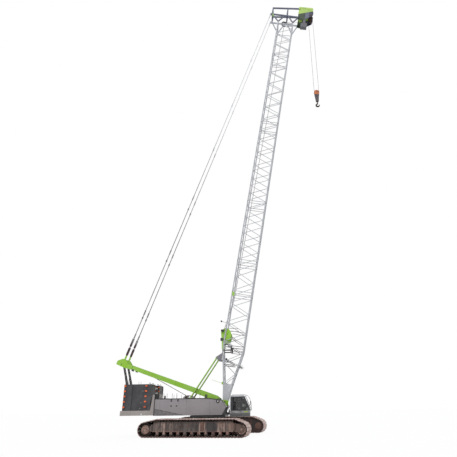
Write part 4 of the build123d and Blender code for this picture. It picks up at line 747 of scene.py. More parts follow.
def shoe_tree():
    """Copies of a shoe along a closed path, each turned to the path and standing outwards."""
    graph, start = new_tree("Track shoes along a path", {
        "Shoe": "Object", "Count": "Int", "Axle direction": "Vector"})
    curve = graph.add("GeometryNodeMeshToCurve", {0: start})
    points = graph.add("GeometryNodeCurveToPoints", {"Curve": curve, "Count": start["Count"]}, mode="COUNT")
    tangent = points["Tangent"]
    sides = {0: tangent, 1: start["Axle direction"]}
    outward = graph.add("ShaderNodeVectorMath", sides, operation="CROSS_PRODUCT")
    along = graph.add("FunctionNodeAlignRotationToVector", {"Vector": tangent}, axis="X")
    upright = graph.add("FunctionNodeAlignRotationToVector", {
        "Rotation": along, "Vector": outward}, axis="Z", pivot_axis="X")
    shoe = graph.add("GeometryNodeObjectInfo", {"Object": start["Shoe"]}, "Geometry")
    row = graph.add("GeometryNodeInstanceOnPoints", {
        "Points": points, "Instance": shoe, "Rotation": upright})
    return end_tree(graph, row, start)


def keep_attribute(graph, shape, name, output):
    """Writes the place along a curve, as a length or a share of it, to a named attribute."""
    place = graph.add("GeometryNodeSplineParameter", output=output)
    values = {"Geometry": shape, "Name": name, "Value": place}
    return graph.add("GeometryNodeStoreNamedAttribute", values, data_type="FLOAT", domain="POINT")


def rope_skin(graph, curve, start):
    """A round skin on a curve, with where each point lies along and around it kept for its finish."""
    curve = keep_attribute(graph, curve, "along", "Length")
    values = {"Resolution": start["Sides"], "Radius": start["Radius"]}
    ring = graph.add("GeometryNodeCurvePrimitiveCircle", values)
    ring = keep_attribute(graph, ring, "around", "Factor")
    skin = graph.add("GeometryNodeCurveToMesh", {
        "Curve": curve, "Profile Curve": ring, "Fill Caps": True})
    return end_tree(graph, skin, start)


def rope_tree():
    """A round rope along a path."""
    graph, start = new_tree("Rope along a path", {"Radius": "Float", "Sides": "Int"})
    return rope_skin(graph, graph.add("GeometryNodeMeshToCurve", {0: start}), start)


def winding_tree():
    """Rope wound on a drum, as one helix along Z."""
    graph, start = new_tree("Rope wound on a drum", {
        "Drum radius": "Float", "Length": "Float", "Turns": "Float", "Radius": "Float", "Sides": "Int"})
    around = start["Drum radius"]
    helix = graph.add("GeometryNodeCurveSpiral", {
        "Resolution": 28, "Rotations": start["Turns"], "Start Radius": around, "End Radius": around,
        "Height": start["Length"]})
    return rope_skin(graph, helix, start)


def bolt_tree():
    """Hexagon bolt heads on washers, in a ring round Z."""
    graph, start = new_tree("Bolt circle", {
        "Count": "Int", "Circle radius": "Float", "Head radius": "Float", "Head height": "Float"})
    ring = graph.add("GeometryNodeMeshCircle", {
        "Vertices": start["Count"], "Radius": start["Circle radius"]}, fill_type="NONE")
    radius = start["Head radius"]
    height = start["Head height"]
    head = graph.cylinder(6, radius, height)
    washer = graph.cylinder(12, radius * 1.3, height * 0.3, height * -0.45)
    return set_on(graph, ring, graph.gather((head, washer)), start)


def pin_tree():
    """Round pins with a head at each end, on the seed's points; each lies along Y or stands up."""
    graph, start = new_tree("Pins on points", {
        "Radius": "Float", "Length": "Float", "Head radius": "Float", "Head height": "Float", "Sides": "Int",
        "Turn": "Rotation"})
    sides = start["Sides"]
    length = start["Length"]
    head = start["Head radius"]
    height = start["Head height"]
    parts = [graph.cylinder(sides, start["Radius"], length)]
    for end in SIDES:
        parts.append(graph.cylinder(sides, head, height, length * (end * 0.5)))
    pin = {"Geometry": graph.gather(parts), "Rotation": start["Turn"]}
    return set_on(graph, start, graph.add("GeometryNodeTransform", pin), start)


def slat_tree():
    """Flat bars in an even row."""
    graph, start = new_tree("Row of slats", {
        "Count": "Int", "First": "Vector", "Step": "Vector", "Size": "Vector"})
    row = graph.add("GeometryNodeMeshLine", {
        "Count": start["Count"], "Start Location": start["First"],
        "Offset": start["Step"]}, mode="OFFSET")
    slat = graph.add("GeometryNodeMeshCube", {"Size": start["Size"]})
    return set_on(graph, row, slat, start)


def turned_mesh(mesh, way, at):
    """Moves a mesh that was made round Z to stand at a place in the direction way."""
    turn = Vector((0, 0, 1)).rotation_difference(Vector(way)).to_matrix().to_4x4()
    mesh.transform(Matrix.Translation(Vector(at)) @ turn)
    return mesh


def joined_mesh(meshes):
    """Several plain meshes as one, with their attributes kept where the first has them."""
    holders = [stand("part", mesh) for mesh in meshes]
    with bpy.context.temp_override(active_object=holders[0], selected_editable_objects=holders):
        bpy.ops.object.join()
    mesh = holders[0].data
    bpy.data.objects.remove(holders[0])
    return mesh


# Track shoes

def belt_path(inset):
    """The closed run over the track's four circles, in the track's own plane."""
    corners = []
    for k in range(720):
        a = 2 * pi * k / 720
        way = (cos(a), sin(a))
        reach = [cx * way[0] + cz * way[1] + r for cx, cz, r in TRACK_CIRCLES]
        cx, cz, r = TRACK_CIRCLES[reach.index(max(reach))]
        corners.append((cx + (r - inset) * way[0], cz + (r - inset) * way[1]))
    return corners


def shoe_shape():
    """One shoe: x along the run, y along the axle, z outwards; the tread stands at 0."""
    bm = bmesh.new()
    half = SHOE_WIDTH / 2
    slab(bm, ((-0.071, -0.034), (-0.062, -0.014), (-0.04, -0.01), (0.04, -0.01), (0.062, -0.014),
              (0.071, -0.034), (0.064, -0.049), (-0.064, -0.049)), -half, half)
    for side in SIDES:
        grouser = ((-0.034, -0.012), (-0.028, -0.001), (0.028, -0.001), (0.034, -0.012))
        slab(bm, grouser, side * 0.13, side * (half - 0.012))
        lug = ((-0.045, -0.047), (0.045, -0.047), (0.03, -0.082), (-0.03, -0.082))
        slab(bm, lug, side * 0.285, side * 0.33)
    mesh = close_mesh("shoe", bm)
    depth = mesh.attributes.new("depth", "FLOAT", "POINT")
    depth.data.foreach_set("value", [vert.co.z for vert in mesh.vertices])
    return mesh


class CRANE_OT_track_shoes(bpy.types.Operator):
    """Lays separate shoes along both tracks"""

    bl_idname = "crane.track_shoes"
    bl_label = "Track shoes"

    def execute(self, context):
        tree = shoe_tree()
        shoe = stand("shoe", shoe_shape())
        path = belt_path(0)
        length = sum(hypot(b[0] - a[0], b[1] - a[1]) for a, b in zip(path, path[1:] + path[:1]))
        values = {"Shoe": shoe, "Count": round(length / SHOE_PITCH), "Axle direction": on_track(0, -1, 0)}
        edges = [(k, (k + 1) % len(path)) for k in range(len(path))]
        for name, side in (("right", -1), ("left", 1)):
            run = [on_track(x, side * TRACK_SIDE, z) for x, z in path]
            mesh = grow(tree, "shoe", values, run, edges)
            piece = settle("shoes_" + name, mesh, "undercarriage")
            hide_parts("track_" + name)
        bpy.data.objects.remove(shoe)
        return {"FINISHED"}


# Running gear

# Circle radius, count and how far out of the track's middle plane
HUB_BOLTS = ((0.165, 16, 0.234), (0.08, 8, 0.252))
DRIVE_HUB = (-2.4, 0.35)
GUARD_IN = 0.265
FRAME_HALF = 0.255


class CRANE_OT_running_gear(bpy.types.Operator):
    """Adds bolt circles, dark plates behind the end wheels that are partly guard and partly painted shade,
    covers and step irons to the crawlers
    """

    bl_idname = "crane.running_gear"
    bl_label = "Running gear"

    def execute(self, context):
        bolt = context.scene.crane_sizes.bolt
        tree = bolt_tree()
        for name, side in (("right", -1), ("left", 1)):
            rings = []
            for radius, count, out in HUB_BOLTS:
                ring = grow(tree, "bolt", {
                    "Count": count, "Circle radius": radius, "Head radius": bolt / 2, "Head height": 0.016})
                middle = on_track(DRIVE_HUB[0], side * (TRACK_SIDE + out), DRIVE_HUB[1])
                rings.append(turned_mesh(ring, on_track(0, side, 0), middle))
            settle("hub_bolts_" + name, joined_mesh(rings), "undercarriage")
            self.guards_and_shade(name, side)
            self.covers(name, side)
        return {"FINISHED"}

    def guards_and_shade(self, name, side):
        """A dark plate inside the belt, behind wheels and rollers, with ribs on its inner face; the plate is
        partly a guard and partly painted shade, a dark sheet where the track is seen through.
        """
        inner = side * (TRACK_SIDE - GUARD_IN)
        bm = bmesh.new()
        # Painted shade: the dark plate fills the inside of the belt, where one sees through the track
        slab(bm, belt_path(0.058)[::12], inner, inner - side * 0.01)
        close_piece("wheel_guards_" + name, bm, "dark", "undercarriage", TRACK)
        bm = bmesh.new()
        face = inner - side * 0.008
        for x in (-2.1, -1.55, 1.55, 2.0):
            block(bm, (x - 0.02, inner - side * 0.03, 0.12), (x + 0.02, face, 0.66))
        for x in (-2.4, 2.4):
            hub = ((0, 0.17), (0.02, 0.17), (0.028, 0.15), (0.028, 0.09), (0.036, 0.085))
            lathe(bm, hub, (x, face, 0.35), (0, -side, 0), 20)
        close_piece("inner_ribs_" + name, bm, "patch", "undercarriage", TRACK)

    def covers(self, name, side):
        """A bolted cover and two step irons on the frame's outer face."""
        bm = bmesh.new()
        face = side * (TRACK_SIDE + FRAME_HALF)
        front = face + side * 0.022
        block(bm, (0.42, face - side * 0.002, 0.285), (0.6, front, 0.655), 0.004)
        for x in (0.44, 0.58):
            for z in (0.31, 0.47, 0.63):
                lathe(bm, ((0, 0.011), (0.006, 0.011), (0.009, 0.006)), (x, front, z), (0, side, 0), 6)
        out = face + side * 0.026
        for x in (-0.17, -0.51):
            iron = ((-0.07, face, 0.43), (-0.07, out, 0.45), (-0.05, out, 0.56), (0, out, 0.5),
                    (0.05, out, 0.56), (0.07, out, 0.45), (0.07, face, 0.43))
            bent_rod(bm, [(x + dx, y, z) for dx, y, z in iron], 0.008, 6)
        close_piece("frame_covers_" + name, bm, "patch", "undercarriage", TRACK)


# Ropes

# Body, name, centre, winding radius and length of each drum
DRUMS = (
    ("luffing_winch", "luff", LUFF_DRUM, 0.226, 0.582),
    ("hoist_winch", "hoist", Vector((-0.25, 0, 1.38)), 0.224, 0.642),
    ("boom_winch", "boom", on_boom(-0.54, 0, 3.5), 0.208, 0.902))
TACKLE_BLOCK = Vector((-4.0, 0.0, 1.33))
# How far each rope of the tackle stands off the line of centres, at the block and at the mast
TACKLE_ROWS = ((0.075, 0.065), (0.105, 0.085), (0.14, 0.125), (0.17, 0.145))


class CRANE_OT_ropes(bpy.types.Operator):
    """Winds rope on the three drums and leads the ropes to the boom's head and the mast"""

    bl_idname = "crane.ropes"
    bl_label = "Ropes"

    def execute(self, context):
        rope = context.scene.crane_sizes.rope
        tree = winding_tree()
        for body, name, centre, radius, length in DRUMS:
            mesh = grow(tree, "dark_rope", {
                "Drum radius": radius, "Length": length - rope, "Turns": (length - rope) / (rope * 1.06),
                "Radius": rope / 2, "Sides": 6})
            foot = centre - Vector((0, (length - rope) / 2, 0))
            settle(name + "_winding", turned_mesh(mesh, (0, 1, 0), foot), body)
        self.tree = rope_tree()
        lines = []
        for y in (-0.13, 0.13):
            run = (on_boom(-0.756, y, 3.5), on_boom(-0.44, y * 0.7, 5.4), on_boom(-0.1, y * 0.7, 27.4),
                   on_boom(0.9, y, 28.0))
            lines.append(self.line(run, rope / 2, "pale_rope"))
        settle("boom_ropes", joined_mesh(lines), "boom")
        self.tackle()
        self.mast_line()
        return {"FINISHED"}

    def line(self, points, radius, finish):
        edges = [(k, k + 1) for k in range(len(points) - 1)]
        return grow(self.tree, finish, {"Radius": radius, "Sides": 8}, points, edges)

    def tackle(self):
        """The other parts of the luffing tackle, between the block in the tray and the mast's sheaves."""
        sheave = on_mast(5.56, 0.0, -0.03)
        way = (sheave - TACKLE_BLOCK).normalized()
        beside = Vector((way.z, 0.0, -way.x))
        parts = []
        for side in SIDES:
            for y in (0.352, 0.38, 0.408):
                shift = Vector((0.0, side * y, 0.0))
                for low, high in TACKLE_ROWS:
                    foot = TACKLE_BLOCK + shift + way * 0.13 + beside * low
                    top = sheave + shift - way * 0.16 + beside * high
                    parts.append(self.line((foot, top), 0.01, "dark_rope"))
        settle("tackle_ropes", joined_mesh(parts), "luffing_tackle")

    def mast_line(self):
        """The luffing rope, from its drum up to the mast's underside."""
        foot = Vector((-0.96, -0.2, 1.822))
        head = Vector((-3.236, -0.2, 3.013))
        mesh = self.line([foot.lerp(head, k / 24) for k in range(25)], 0.013, "rope")
        mesh.name = "luff_line"
        mesh.shade_smooth()
        piece = stand("luff_line", mesh)
        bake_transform(piece)


# Side housings

SEAMS = (-0.86, 0.28)
HANDLES = ((-1.625, 1.394), (-1.352, 1.391))
MARKS = ((-1.625, 1.66), (-1.294, 1.665))
POSTS = (-2.024, -1.859, -1.6, -1.375, -0.211)
TOP_EDGE = ((-2.478, 1.74), (-2.478, 1.704), (0.194, 1.704), (0.892, 1.611), (1.1, 1.313), (1.112, 1.313),
            (0.904, 1.649), (0.202, 1.744))
WEDGE_EDGE = ((-2.45, 1.272), (-2.45, 1.256), (-0.96, 0.955), (-0.9, 0.955))
GUARD_REACH = 0.352
STACK_TOP = 2.43


class CRANE_OT_housings(bpy.types.Operator):
    """Puts edges, seams, handles, posts and grilles on the side housings"""

    bl_idname = "crane.housings"
    bl_label = "Side housings"

    def execute(self, context):
        bm = bmesh.new()
        eyes = bmesh.new()
        for side in SIDES:
            face = side * HOUSING_SIDE
            slab(bm, TOP_EDGE, face - side * 0.01, face + side * 0.004)
            slab(bm, WEDGE_EDGE, face - side * 0.01, face + side * 0.003)
            self.patch(bm, side, -2.481, -2.435, 0.975, 1.735, 0.004)
            for x in SEAMS:
                self.patch(bm, side, x - 0.002, x + 0.002, 0.975, 1.704, 0.001)
            for x, z in HANDLES:
                self.patch(bm, side, x - 0.035, x + 0.035, z - 0.028, z + 0.028, 0.003)
                out = face + side * 0.022
                grip = ((x - 0.022, face, z), (x - 0.022, out, z), (x + 0.022, out, z), (x + 0.022, face, z))
                bent_rod(bm, grip, 0.005, 6)
            for x, z in MARKS:
                self.patch(bm, side, x - 0.03, x + 0.03, z - 0.07, z + 0.04, 0.012)
            foot = (0.692, face - side * 0.004, 1.584)
            ring = ((0, 0.092), (0.012, 0.092), (0.02, 0.08), (0.02, 0.04), (0.006, 0.038))
            lathe(bm, ring, foot, (0, side, 0))
            lathe(eyes, ((0.004, 0.038), (0.013, 0.038), (0.016, 0.032)), foot, (0, side, 0))
        close_piece("housing_edges", bm, "black", "upper")
        close_piece("housing_eyes", eyes, "pale", "upper")
        self.drum_guard()
        self.posts(context.scene.crane_sizes.rail)
        self.grilles()
        return {"FINISHED"}

    def patch(self, bm, side, x0, x1, z0, z1, out):
        """A flat piece on the outer face of a housing."""
        face = side * HOUSING_SIDE
        block(bm, (x0, face - side * 0.004, z0), (x1, face + side * out, z1))

    def drum_guard(self):
        """Hoops over the luffing drum, tied together."""
        bm = bmesh.new()

        def around(degrees, y):
            a = radians(degrees)
            return LUFF_DRUM + Vector((GUARD_REACH * cos(a), y, GUARD_REACH * sin(a)))

        for y in (-0.4, -0.13, 0.13, 0.4):
            bent_rod(bm, [around(a, y) for a in range(32, 149, 13)], 0.02, 8)
        for a in (45, 71, 97, 123):
            rod(bm, around(a, -0.4), around(a, 0.4), 0.012, 8)
        close_piece("drum_guard", bm, "tray", "upper")

    def posts(self, height):
        """Thin posts along the housings' outer edges and on the stacks."""
        feet = [(x, side * (HOUSING_SIDE - 0.04), HOUSING_TOP + height / 2) for side in SIDES for x in POSTS]
        feet += [(x, side * 1.2, STACK_TOP + height / 2) for side in SIDES for x in (-4.02, -3.9)]
        mesh = grow(pin_tree(), "black", {
            "Radius": 0.008, "Length": height, "Head radius": 0.014, "Head height": 0.01, "Sides": 8,
            "Turn": (0.0, 0.0, 0.0)}, feet)
        settle("deck_posts", mesh, "upper")

    def grilles(self):
        """Cooling slats on the roofs of both housings."""
        tree = slat_tree()
        rows = ((1.0, -2.2, 22), (1.0, -0.95, 12), (-1.0, -2.2, 8))
        parts = [grow(tree, "black", {
            "Count": count, "First": (x, y, HOUSING_TOP + 0.008), "Step": (0.05, 0.0, 0.0),
            "Size": (0.028, 0.46, 0.014)}) for y, x, count in rows]
        settle("roof_grilles", joined_mesh(parts), "upper")


# Cab

CAB_TUBE = 0.009


class CRANE_OT_cab(bpy.types.Operator):
    """Dresses the cab with bars, rails, a mirror, a wiper and its door handle"""

    bl_idname = "crane.cab"
    bl_label = "Cab"

    def execute(self, context):
        bm = bmesh.new()
        face = CAB_SIDE - 0.001
        block(bm, (1.872, face - 0.012, 1.44), (2.145, face, 1.462))
        block(bm, (2.018, face - 0.012, 1.15), (2.036, face, 1.75))
        hook = ((1.2, 1.3), (1.112, 1.24), (1.12, 1.09), (1.2, 1.04), (1.285, 1.06))
        bent_rod(bm, [(x, -1.4, z) for x, z in hook], 0.032)
        bent_rod(bm, ((2.2, face, 1.34), (2.32, -1.68, 1.4), (2.32, -1.68, 1.56)), CAB_TUBE)
        block(bm, (2.305, -1.72, 1.4), (2.325, -1.64, 1.58), 0.006)
        rod(bm, (2.292, -1.33, 1.24), (2.135, -1.22, 1.6), 0.006)
        close_piece("cab_fittings", bm, "black", "upper")

        bm = bmesh.new()
        bow = ((1.38, 1.83), (1.42, 1.868), (1.98, 1.868), (2.16, 1.83), (2.27, 1.72), (2.34, 1.52),
               (2.365, 1.3), (2.365, 1.16), (2.315, 1.13))
        for y in (-1.592, -1.058):
            bent_rod(bm, [(x, y, z) for x, z in bow], 0.012)
        for z, x in ((1.868, 1.7), (1.72, 2.27), (1.3, 2.365)):
            rod(bm, (x, -1.592, z), (x, -1.058, z), 0.008, 8)
        grab = ((face, 1.1), (-1.645, 1.13), (-1.645, 1.62), (face, 1.65))
        bent_rod(bm, [(1.345, y, z) for y, z in grab], CAB_TUBE)
        bent_rod(bm, ((1.86, face, 1.122), (2.0, -1.612, 1.126), (2.31, -1.612, 1.136)), 0.007)
        close_piece("cab_rails", bm, "pale", "upper")

        bm = bmesh.new()
        out = -1.619
        block(bm, (1.455, out - 0.01, 1.44), (1.795, out, 1.462))
        block(bm, (1.6, out - 0.01, 1.2), (1.616, out, 1.73))
        handle = ((out, 1.12), (out - 0.03, 1.12), (out - 0.03, 1.22), (out, 1.22))
        bent_rod(bm, [(1.8, y, z) for y, z in handle], 0.006, 6)
        close_piece("door_fittings", bm, "black", "door")
        return {"FINISHED"}


# Counterweight

STACK_FACE = -2.668
SPOT = ((0, 0.036), (0.006, 0.036), (0.009, 0.028))


class CRANE_OT_ballast(bpy.types.Operator):
    """Adds lifting eyes, edge frames, lugs and pocket rims to the stacks, and marks to the tray"""

    bl_idname = "crane.ballast"
    bl_label = "Counterweight"

    def execute(self, context):
        frames = bmesh.new()
        lugs = bmesh.new()
        dark = bmesh.new()
        pale = bmesh.new()
        edge = ((0.49, 1.76), (0.49, 2.34), (0.55, 2.405), (1.28, 2.405), (1.34, 2.34), (1.34, 1.76))
        bent_rod(frames, [(STACK_FACE, y, z) for y, z in edge], 0.024, 8)
        block(frames, (-2.672, 0.47, 1.74), (-2.65, 1.34, 1.99), 0.004)
        for side in SIDES:
            for x in (-3.95, -2.8):
                for y in (0.58, 1.22):
                    self.eye(dark, x, side * y)
            face = side * 0.463
            for z in (2.325, 2.13):
                block(lugs, (-2.735, face - side * 0.03, z - 0.035), (-2.655, face, z + 0.035), 0.006)
            for x, z in ((-2.845, 2.282), (-2.8, 2.045)):
                self.pocket(pale, x, face, z, -side)
            lathe(pale, SPOT, (-3.07, side * 1.3745, 1.036), (0, side, 0), 12)
            for x, z in ((-3.09, 2.1), (-3.15, 1.56), (-3.18, 1.29)):
                lathe(dark, SPOT, (x, side * 1.329, z), (0, side, 0), 12)
        close_piece("stack_eyes", dark, "patina", "upper")
        close_piece("stack_frames", frames, "tray", "upper")
        close_piece("stack_lugs", lugs, "orange", "upper")
        close_piece("stack_pockets", pale, "pale", "upper")
        return {"FINISHED"}

    def eye(self, bm, x, y):
        """A bent lifting eye standing on the top slab."""
        low = STACK_TOP - 0.004
        bend = ((-0.04, 0), (-0.035, 0.055), (0, 0.078), (0.035, 0.055), (0.04, 0))
        bent_rod(bm, [(x + dx, y, low + dz) for dx, dz in bend], 0.01, 8)

    def pocket(self, bm, x, y, z, way):
        """An oval rim round a lifting pocket."""
        angles = [2 * pi * k / 16 for k in range(17)]
        rim = [(x + 0.075 * cos(a), z + 0.042 * sin(a)) for a in angles]
        bent_rod(bm, [(px, y + way * 0.004, pz) for px, pz in rim], 0.012, 6)
        slab(bm, rim[:16], y, y + way * 0.004)


# Boom and mast

BOOM_JOINTS = (5.8, 7.7, 11.6, 17.65, 23.7)
HEAD_SHAFT = (1.863, 28.24)
PLATE_FACE = 0.5
DRUM_PLATE = ((0.705, 5.09), (0.8, 5.24), (1.08, 5.26), (1.25, 5.12), (1.27, 4.86), (1.16, 4.64),
              (0.92, 4.6), (0.74, 4.74))
DRUM_BRACKET = ((0.752, 4.64), (0.84, 4.62), (0.83, 4.18), (0.768, 4.2))
# Ends as (forward, up) on the boom, and radius
WINCH_BARS = (
    ((-0.57, 2.876), (-0.213, 2.927), 0.02), ((-0.515, 2.563), (-0.139, 2.617), 0.022),
    ((-0.088, 2.856), (0.545, 2.875), 0.014), ((-0.042, 2.718), (0.545, 2.76), 0.012),
    ((-0.151, 2.554), (0.54, 2.587), 0.014), ((-0.216, 3.349), (0.037, 3.206), 0.018),
    ((0.037, 3.206), (0.48, 3.003), 0.012), ((-0.369, 1.855), (0.21, 1.874), 0.02),
    ((0.389, 1.873), (0.651, 1.911), 0.01), ((0.4, 1.803), (0.662, 1.84), 0.01),
    ((-0.155, 0.89), (0.256, 0.927), 0.014), ((-0.424, 3.761), (0.079, 3.796), 0.012),
    ((-0.264, 3.634), (0.53, 3.614), 0.012))
# Start and end along the pendants from the mast's pins, and half the width
PENDANT_EYE = ((0.24, 0.46, 0.04),)
PENDANT_LINKS = ((0.49, 0.9, 0.054), (0.96, 1.4, 0.05), (2.55, 2.66, 0.03), (6.05, 6.17, 0.03),
                 (9.6, 9.72, 0.03))


class CRANE_OT_boom(bpy.types.Operator):
    """Adds pins, the winch's side plates, its boxes and the small arms to the boom and the mast"""

    bl_idname = "crane.boom"
    bl_label = "Boom and mast"

    def execute(self, context):
        self.pins()
        self.winch_plates()
        self.arms()
        self.limits()
        self.pendant_ends("pendant_links", PENDANT_LINKS, "pendant", "dark_steel")
        self.pendant_ends("pendant_eyes", PENDANT_EYE, "lime", "lime")
        self.mast_fittings()
        return {"FINISHED"}

    def pendant_ends(self, name, links, finish, slot):
        """Thick links on the pendants."""
        low = on_mast(5.5, 0.0, 0.0)
        way = (on_boom(-1.24, 0, 27.96) - low).normalized()
        beside = Vector((way.z, 0.0, -way.x))
        bm = bmesh.new()
        for start, end, half in links:
            a = low + way * start
            b = low + way * end
            corners = (a - beside * half, b - beside * half, b + beside * half, a + beside * half)
            for side in SIDES:
                slab(bm, [(p.x, p.z) for p in corners], side * 0.345, side * 0.415)
        close_piece(name, bm, finish, "boom")

    def pins(self):
        """The joint pins of the boom's sections, and the caps of the foot pins and the head's shaft."""
        joints = [on_boom(face * CHORD_HALF, side * CHORD_HALF, up)
                  for up in BOOM_JOINTS for face in SIDES for side in SIDES]
        shaft = on_boom(HEAD_SHAFT[0], 0, HEAD_SHAFT[1])
        tree = pin_tree()
        parts = [grow(tree, "bolt", {
            "Radius": radius, "Length": length, "Head radius": head, "Head height": height, "Sides": sides,
            "Turn": (pi / 2, 0.0, 0.0)}, places) for places, radius, length, head, height, sides in (
                (joints, 0.014, 0.094, 0.022, 0.012, 12),
                ([BOOM_FOOT], 0.055 * 0.6, 1.262, 0.055, 0.014, 20),
                ([shaft], 0.07 * 0.6, 0.862, 0.07, 0.014, 20))]
        settle("boom_pins", joined_mesh(parts), "boom")

    def winch_plates(self):
        """Plates, bars and boxes that carry the boom's winch."""
        lime = bmesh.new()
        dark = bmesh.new()
        bars = bmesh.new()
        for side in SIDES:
            face = side * PLATE_FACE
            out = (0, side, 0)
            for a, b, radius in WINCH_BARS:
                rod(bars, on_boom(a[0], face, a[1]), on_boom(b[0], face, b[1]), radius, 8)
            slab(lime, DRUM_PLATE, face, face + side * 0.012)
            slab(lime, DRUM_BRACKET, side * 0.545, side * 0.592)
            cap = ((-0.004, 0.115), (0.02, 0.115), (0.028, 0.1), (0.028, 0.05), (0.045, 0.045))
            lathe(lime, cap, on_boom(-0.54, 0, 3.5) + Vector((0, face + side * 0.012, 0)), out)
            for x0, z0, x1, z1 in ((0.71, 5.115, 0.88, 5.225), (0.69, 4.625, 0.83, 4.77)):
                block(dark, (x0, side * 0.535, z0), (x1, side * 0.645, z1), 0.01)
            motor = ((0, 0.03), (0.03, 0.055), (0.09, 0.055), (0.1, 0.04))
            lathe(dark, motor, (1.028, face, 3.665), out, 14)
            rod(dark, (1.03, side * 0.545, 3.66), (1.84, side * 0.545, 3.255), 0.012, 8)
            block(dark, (1.24, face, 4.09), (1.315, side * 0.56, 4.38), 0.006)
            for a, b in (((0.86, 4.45), (1.25, 4.37)), ((0.85, 4.11), (1.25, 4.11))):
                rod(dark, (a[0], side * 0.53, a[1]), (b[0], side * 0.53, b[1]), 0.01, 8)
        close_piece("winch_plates", lime, "lime", "boom")
        close_piece("winch_bars", bars, "drum", "boom")
        close_piece("winch_boxes", dark, "black", "boom")

    def arms(self):
        """A lamp low in the lattice and the rope hoop near its top."""
        bm = bmesh.new()
        rod(bm, (0.98, -0.55, 5.6), (0.74, -0.55, 5.675), 0.008, 8)
        lamp = ((0, 0.02), (0.01, 0.045), (0.07, 0.05), (0.08, 0.04))
        lathe(bm, lamp, (0.76, -0.55, 5.68), (-1, 0, 0.1), 12)
        hoop = [on_boom(*point) for point in (
            (0.06, -0.4, 27.19), (-0.16, -0.42, 27.21), (-0.245, -0.42, 27.12), (-0.245, -0.42, 26.92),
            (-0.15, -0.42, 26.83), (0.04, -0.4, 26.8))]
        bent_rod(bm, hoop, 0.052, 8)
        for end, up in ((hoop[0], 27.02), (hoop[-1], 26.7)):
            rod(bm, end, on_boom(CHORD_HALF, -0.53, up), 0.014, 8)
        close_piece("boom_arms", bm, "black", "boom")

    def limits(self):
        """The limit switch's box at the head, its arm at the foot and the lime marks on the way."""
        bm = bmesh.new()
        block(bm, (1.16, -0.42, 26.93), (1.64, -0.12, 27.36), 0.02)
        block(bm, (1.3, -0.415, 27.3), (1.5, -0.385, 27.75), 0.004)
        close_piece("limit_box", bm, "frame", "boom", BOOM)
        bm = bmesh.new()
        block(bm, (0.8, -0.605, 2.4), (0.87, -0.54, 2.52), 0.006)
        rod(bm, (0.83, -0.6, 2.46), (0.279, -0.6, 2.633), 0.007, 6)
        block(bm, (1.31, -0.61, 7.1), (1.43, -0.594, 7.34), 0.004)
        block(bm, (4.2, -0.462, 29.0), (4.27, -0.446, 29.34), 0.004)
        close_piece("limit_arm", bm, "lime", "boom")

    def mast_fittings(self):
        """Pin caps at the mast's foot and tip, and the boxes that hang under it."""
        bm = bmesh.new()
        for along, up, radius in ((0, 0, 0.05), (5.5, 0, 0.04), (5.56, -0.03, 0.045)):
            for side in SIDES:
                cap = ((-0.01, radius), (0.012, radius), (0.018, radius * 0.8))
                lathe(bm, cap, (-along, side * 0.44, up), (0, side, 0), 16)
        for side in SIDES:
            block(bm, (-4.92, side * 0.34, -0.17), (-4.8, side * 0.44, -0.056), 0.01)
        close_piece("mast_fittings", bm, "black", "mast", MAST)


# Stage

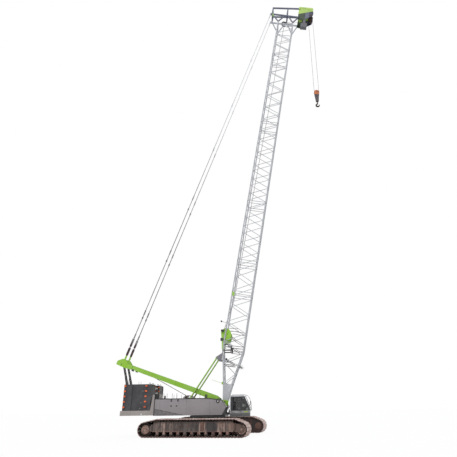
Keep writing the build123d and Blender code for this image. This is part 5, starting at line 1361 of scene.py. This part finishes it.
class CRANE_OT_stage(bpy.types.Operator):
    """Sets the floor, the light, the sky and the camera"""

    bl_idname = "crane.stage"
    bl_label = "Stage"

    def execute(self, context):
        self.floor()
        self.sky(context.scene)
        lamps = (("key", (48, 8, -28), 1.15, 35), ("fill", (60, 0, 140), 0.35, 60))
        for name, turn, strength, angle in lamps:
            light = bpy.data.lights.new(name, "SUN")
            light.energy = strength
            light.angle = radians(angle)
            stand(name, light).rotation_euler = [radians(a) for a in turn]
        camera = bpy.data.cameras.new("camera")
        camera.sensor_width = 36
        camera.lens = 33.04
        camera.shift_x = -0.0635
        camera.clip_end = 400
        place = Matrix.Translation((2.792, -23.944, 1.3745))
        tilt = Matrix.Rotation(radians(90 + 22.84), 4, "X")
        holder = stand("camera", camera)
        holder.matrix_world = place @ tilt @ Matrix.Rotation(radians(-0.821), 4, "Z")
        context.scene.camera = holder
        context.scene.view_settings.view_transform = "Standard"
        return {"FINISHED"}

    def floor(self):
        """A pale floor that shows its shadow on white."""
        mesh = bpy.data.meshes.new("floor")
        mesh.from_pydata([(-90, -90, 0), (90, -90, 0), (90, 90, 0), (-90, 90, 0)], [], [(0, 1, 2, 3)])
        floor = stand("floor", mesh)
        look = Finish("floor_white")
        pale = look.blend((0.9, 0.9, 0.9, 1), (0.93, 0.93, 0.93, 1), look.noise(0.6, 3))
        diffuse = look.add("ShaderNodeBsdfDiffuse", {"Color": pale})
        white = look.add("ShaderNodeEmission", {"Color": (1, 1, 1, 1), "Strength": 1.0})
        ray = look.add("ShaderNodeLightPath", output="Is Camera Ray")
        shown = ray.most(ray["Is Glossy Ray"]) * 0.92
        mixed = look.add("ShaderNodeMixShader", {0: shown, 1: diffuse, 2: white})
        look.add("ShaderNodeOutputMaterial", {0: mixed})
        mesh.materials.append(look.material)

    def sky(self, scene):
        """Soft light from all round, and plain white where the camera looks."""
        scene.world = bpy.data.worlds.new("sky")
        scene.world.use_nodes = True
        sky = Graph(scene.world.node_tree)
        sky.tree.nodes.clear()
        ray = sky.add("ShaderNodeLightPath", output="Is Camera Ray")
        seen = ray.most(ray["Is Glossy Ray"]).most(ray["Is Transmission Ray"])
        lamp = sky.add("ShaderNodeBackground", {"Color": (0.94, 0.97, 1.0, 1), "Strength": 0.72})
        paper = sky.add("ShaderNodeBackground", {"Color": (1, 1, 1, 1), "Strength": 1.0})
        both = sky.add("ShaderNodeMixShader", {0: seen, 1: lamp, 2: paper})
        sky.add("ShaderNodeOutputWorld", {0: both})


class CRANE_OT_finishes(bpy.types.Operator):
    """Makes the finishes and gives one to every node of the frame"""

    bl_idname = "crane.finishes"
    bl_label = "Finishes"

    def execute(self, context):
        FINISHES.update(make_finishes(context.scene.crane_paints))
        chosen = {name: finish for finish, names in NODE_FINISHES.items() for name in names.split()}
        for name, node in NODES.items():
            if not node.material_slots:
                raise RuntimeError("no material slot on " + name)
            for slot in node.material_slots:
                slot.material = FINISHES[chosen[name]]
        return {"FINISHED"}


OPERATORS = (
    CRANE_OT_finishes, CRANE_OT_track_shoes, CRANE_OT_running_gear, CRANE_OT_ropes, CRANE_OT_housings,
    CRANE_OT_cab, CRANE_OT_ballast, CRANE_OT_boom, CRANE_OT_stage,
)


class CRANE_PT_panel(bpy.types.Panel):
    """Lists the crane's operators and settings"""

    bl_idname = "CRANE_PT_panel"
    bl_label = "Crawler crane"
    bl_space_type = "VIEW_3D"
    bl_region_type = "UI"
    bl_category = "Crane"

    def draw(self, context):
        for group in (context.scene.crane_paints, context.scene.crane_sizes):
            for name in group.__annotations__:
                self.layout.prop(group, name)
        for operator in OPERATORS:
            self.layout.operator(operator.bl_idname)


CLASSES = (CranePaints, CraneSizes, *OPERATORS, CRANE_PT_panel)


def register():
    for item in CLASSES:
        bpy.utils.register_class(item)
    bpy.types.Scene.crane_paints = bpy.props.PointerProperty(type=CranePaints)
    bpy.types.Scene.crane_sizes = bpy.props.PointerProperty(type=CraneSizes)


def unregister():
    del bpy.types.Scene.crane_sizes
    del bpy.types.Scene.crane_paints
    for item in reversed(CLASSES):
        bpy.utils.unregister_class(item)


def main():
    register()
    for operator in OPERATORS:
        group, name = operator.bl_idname.split(".")
        getattr(getattr(bpy.ops, group), name)()


if __name__ == "__main__":
    main()
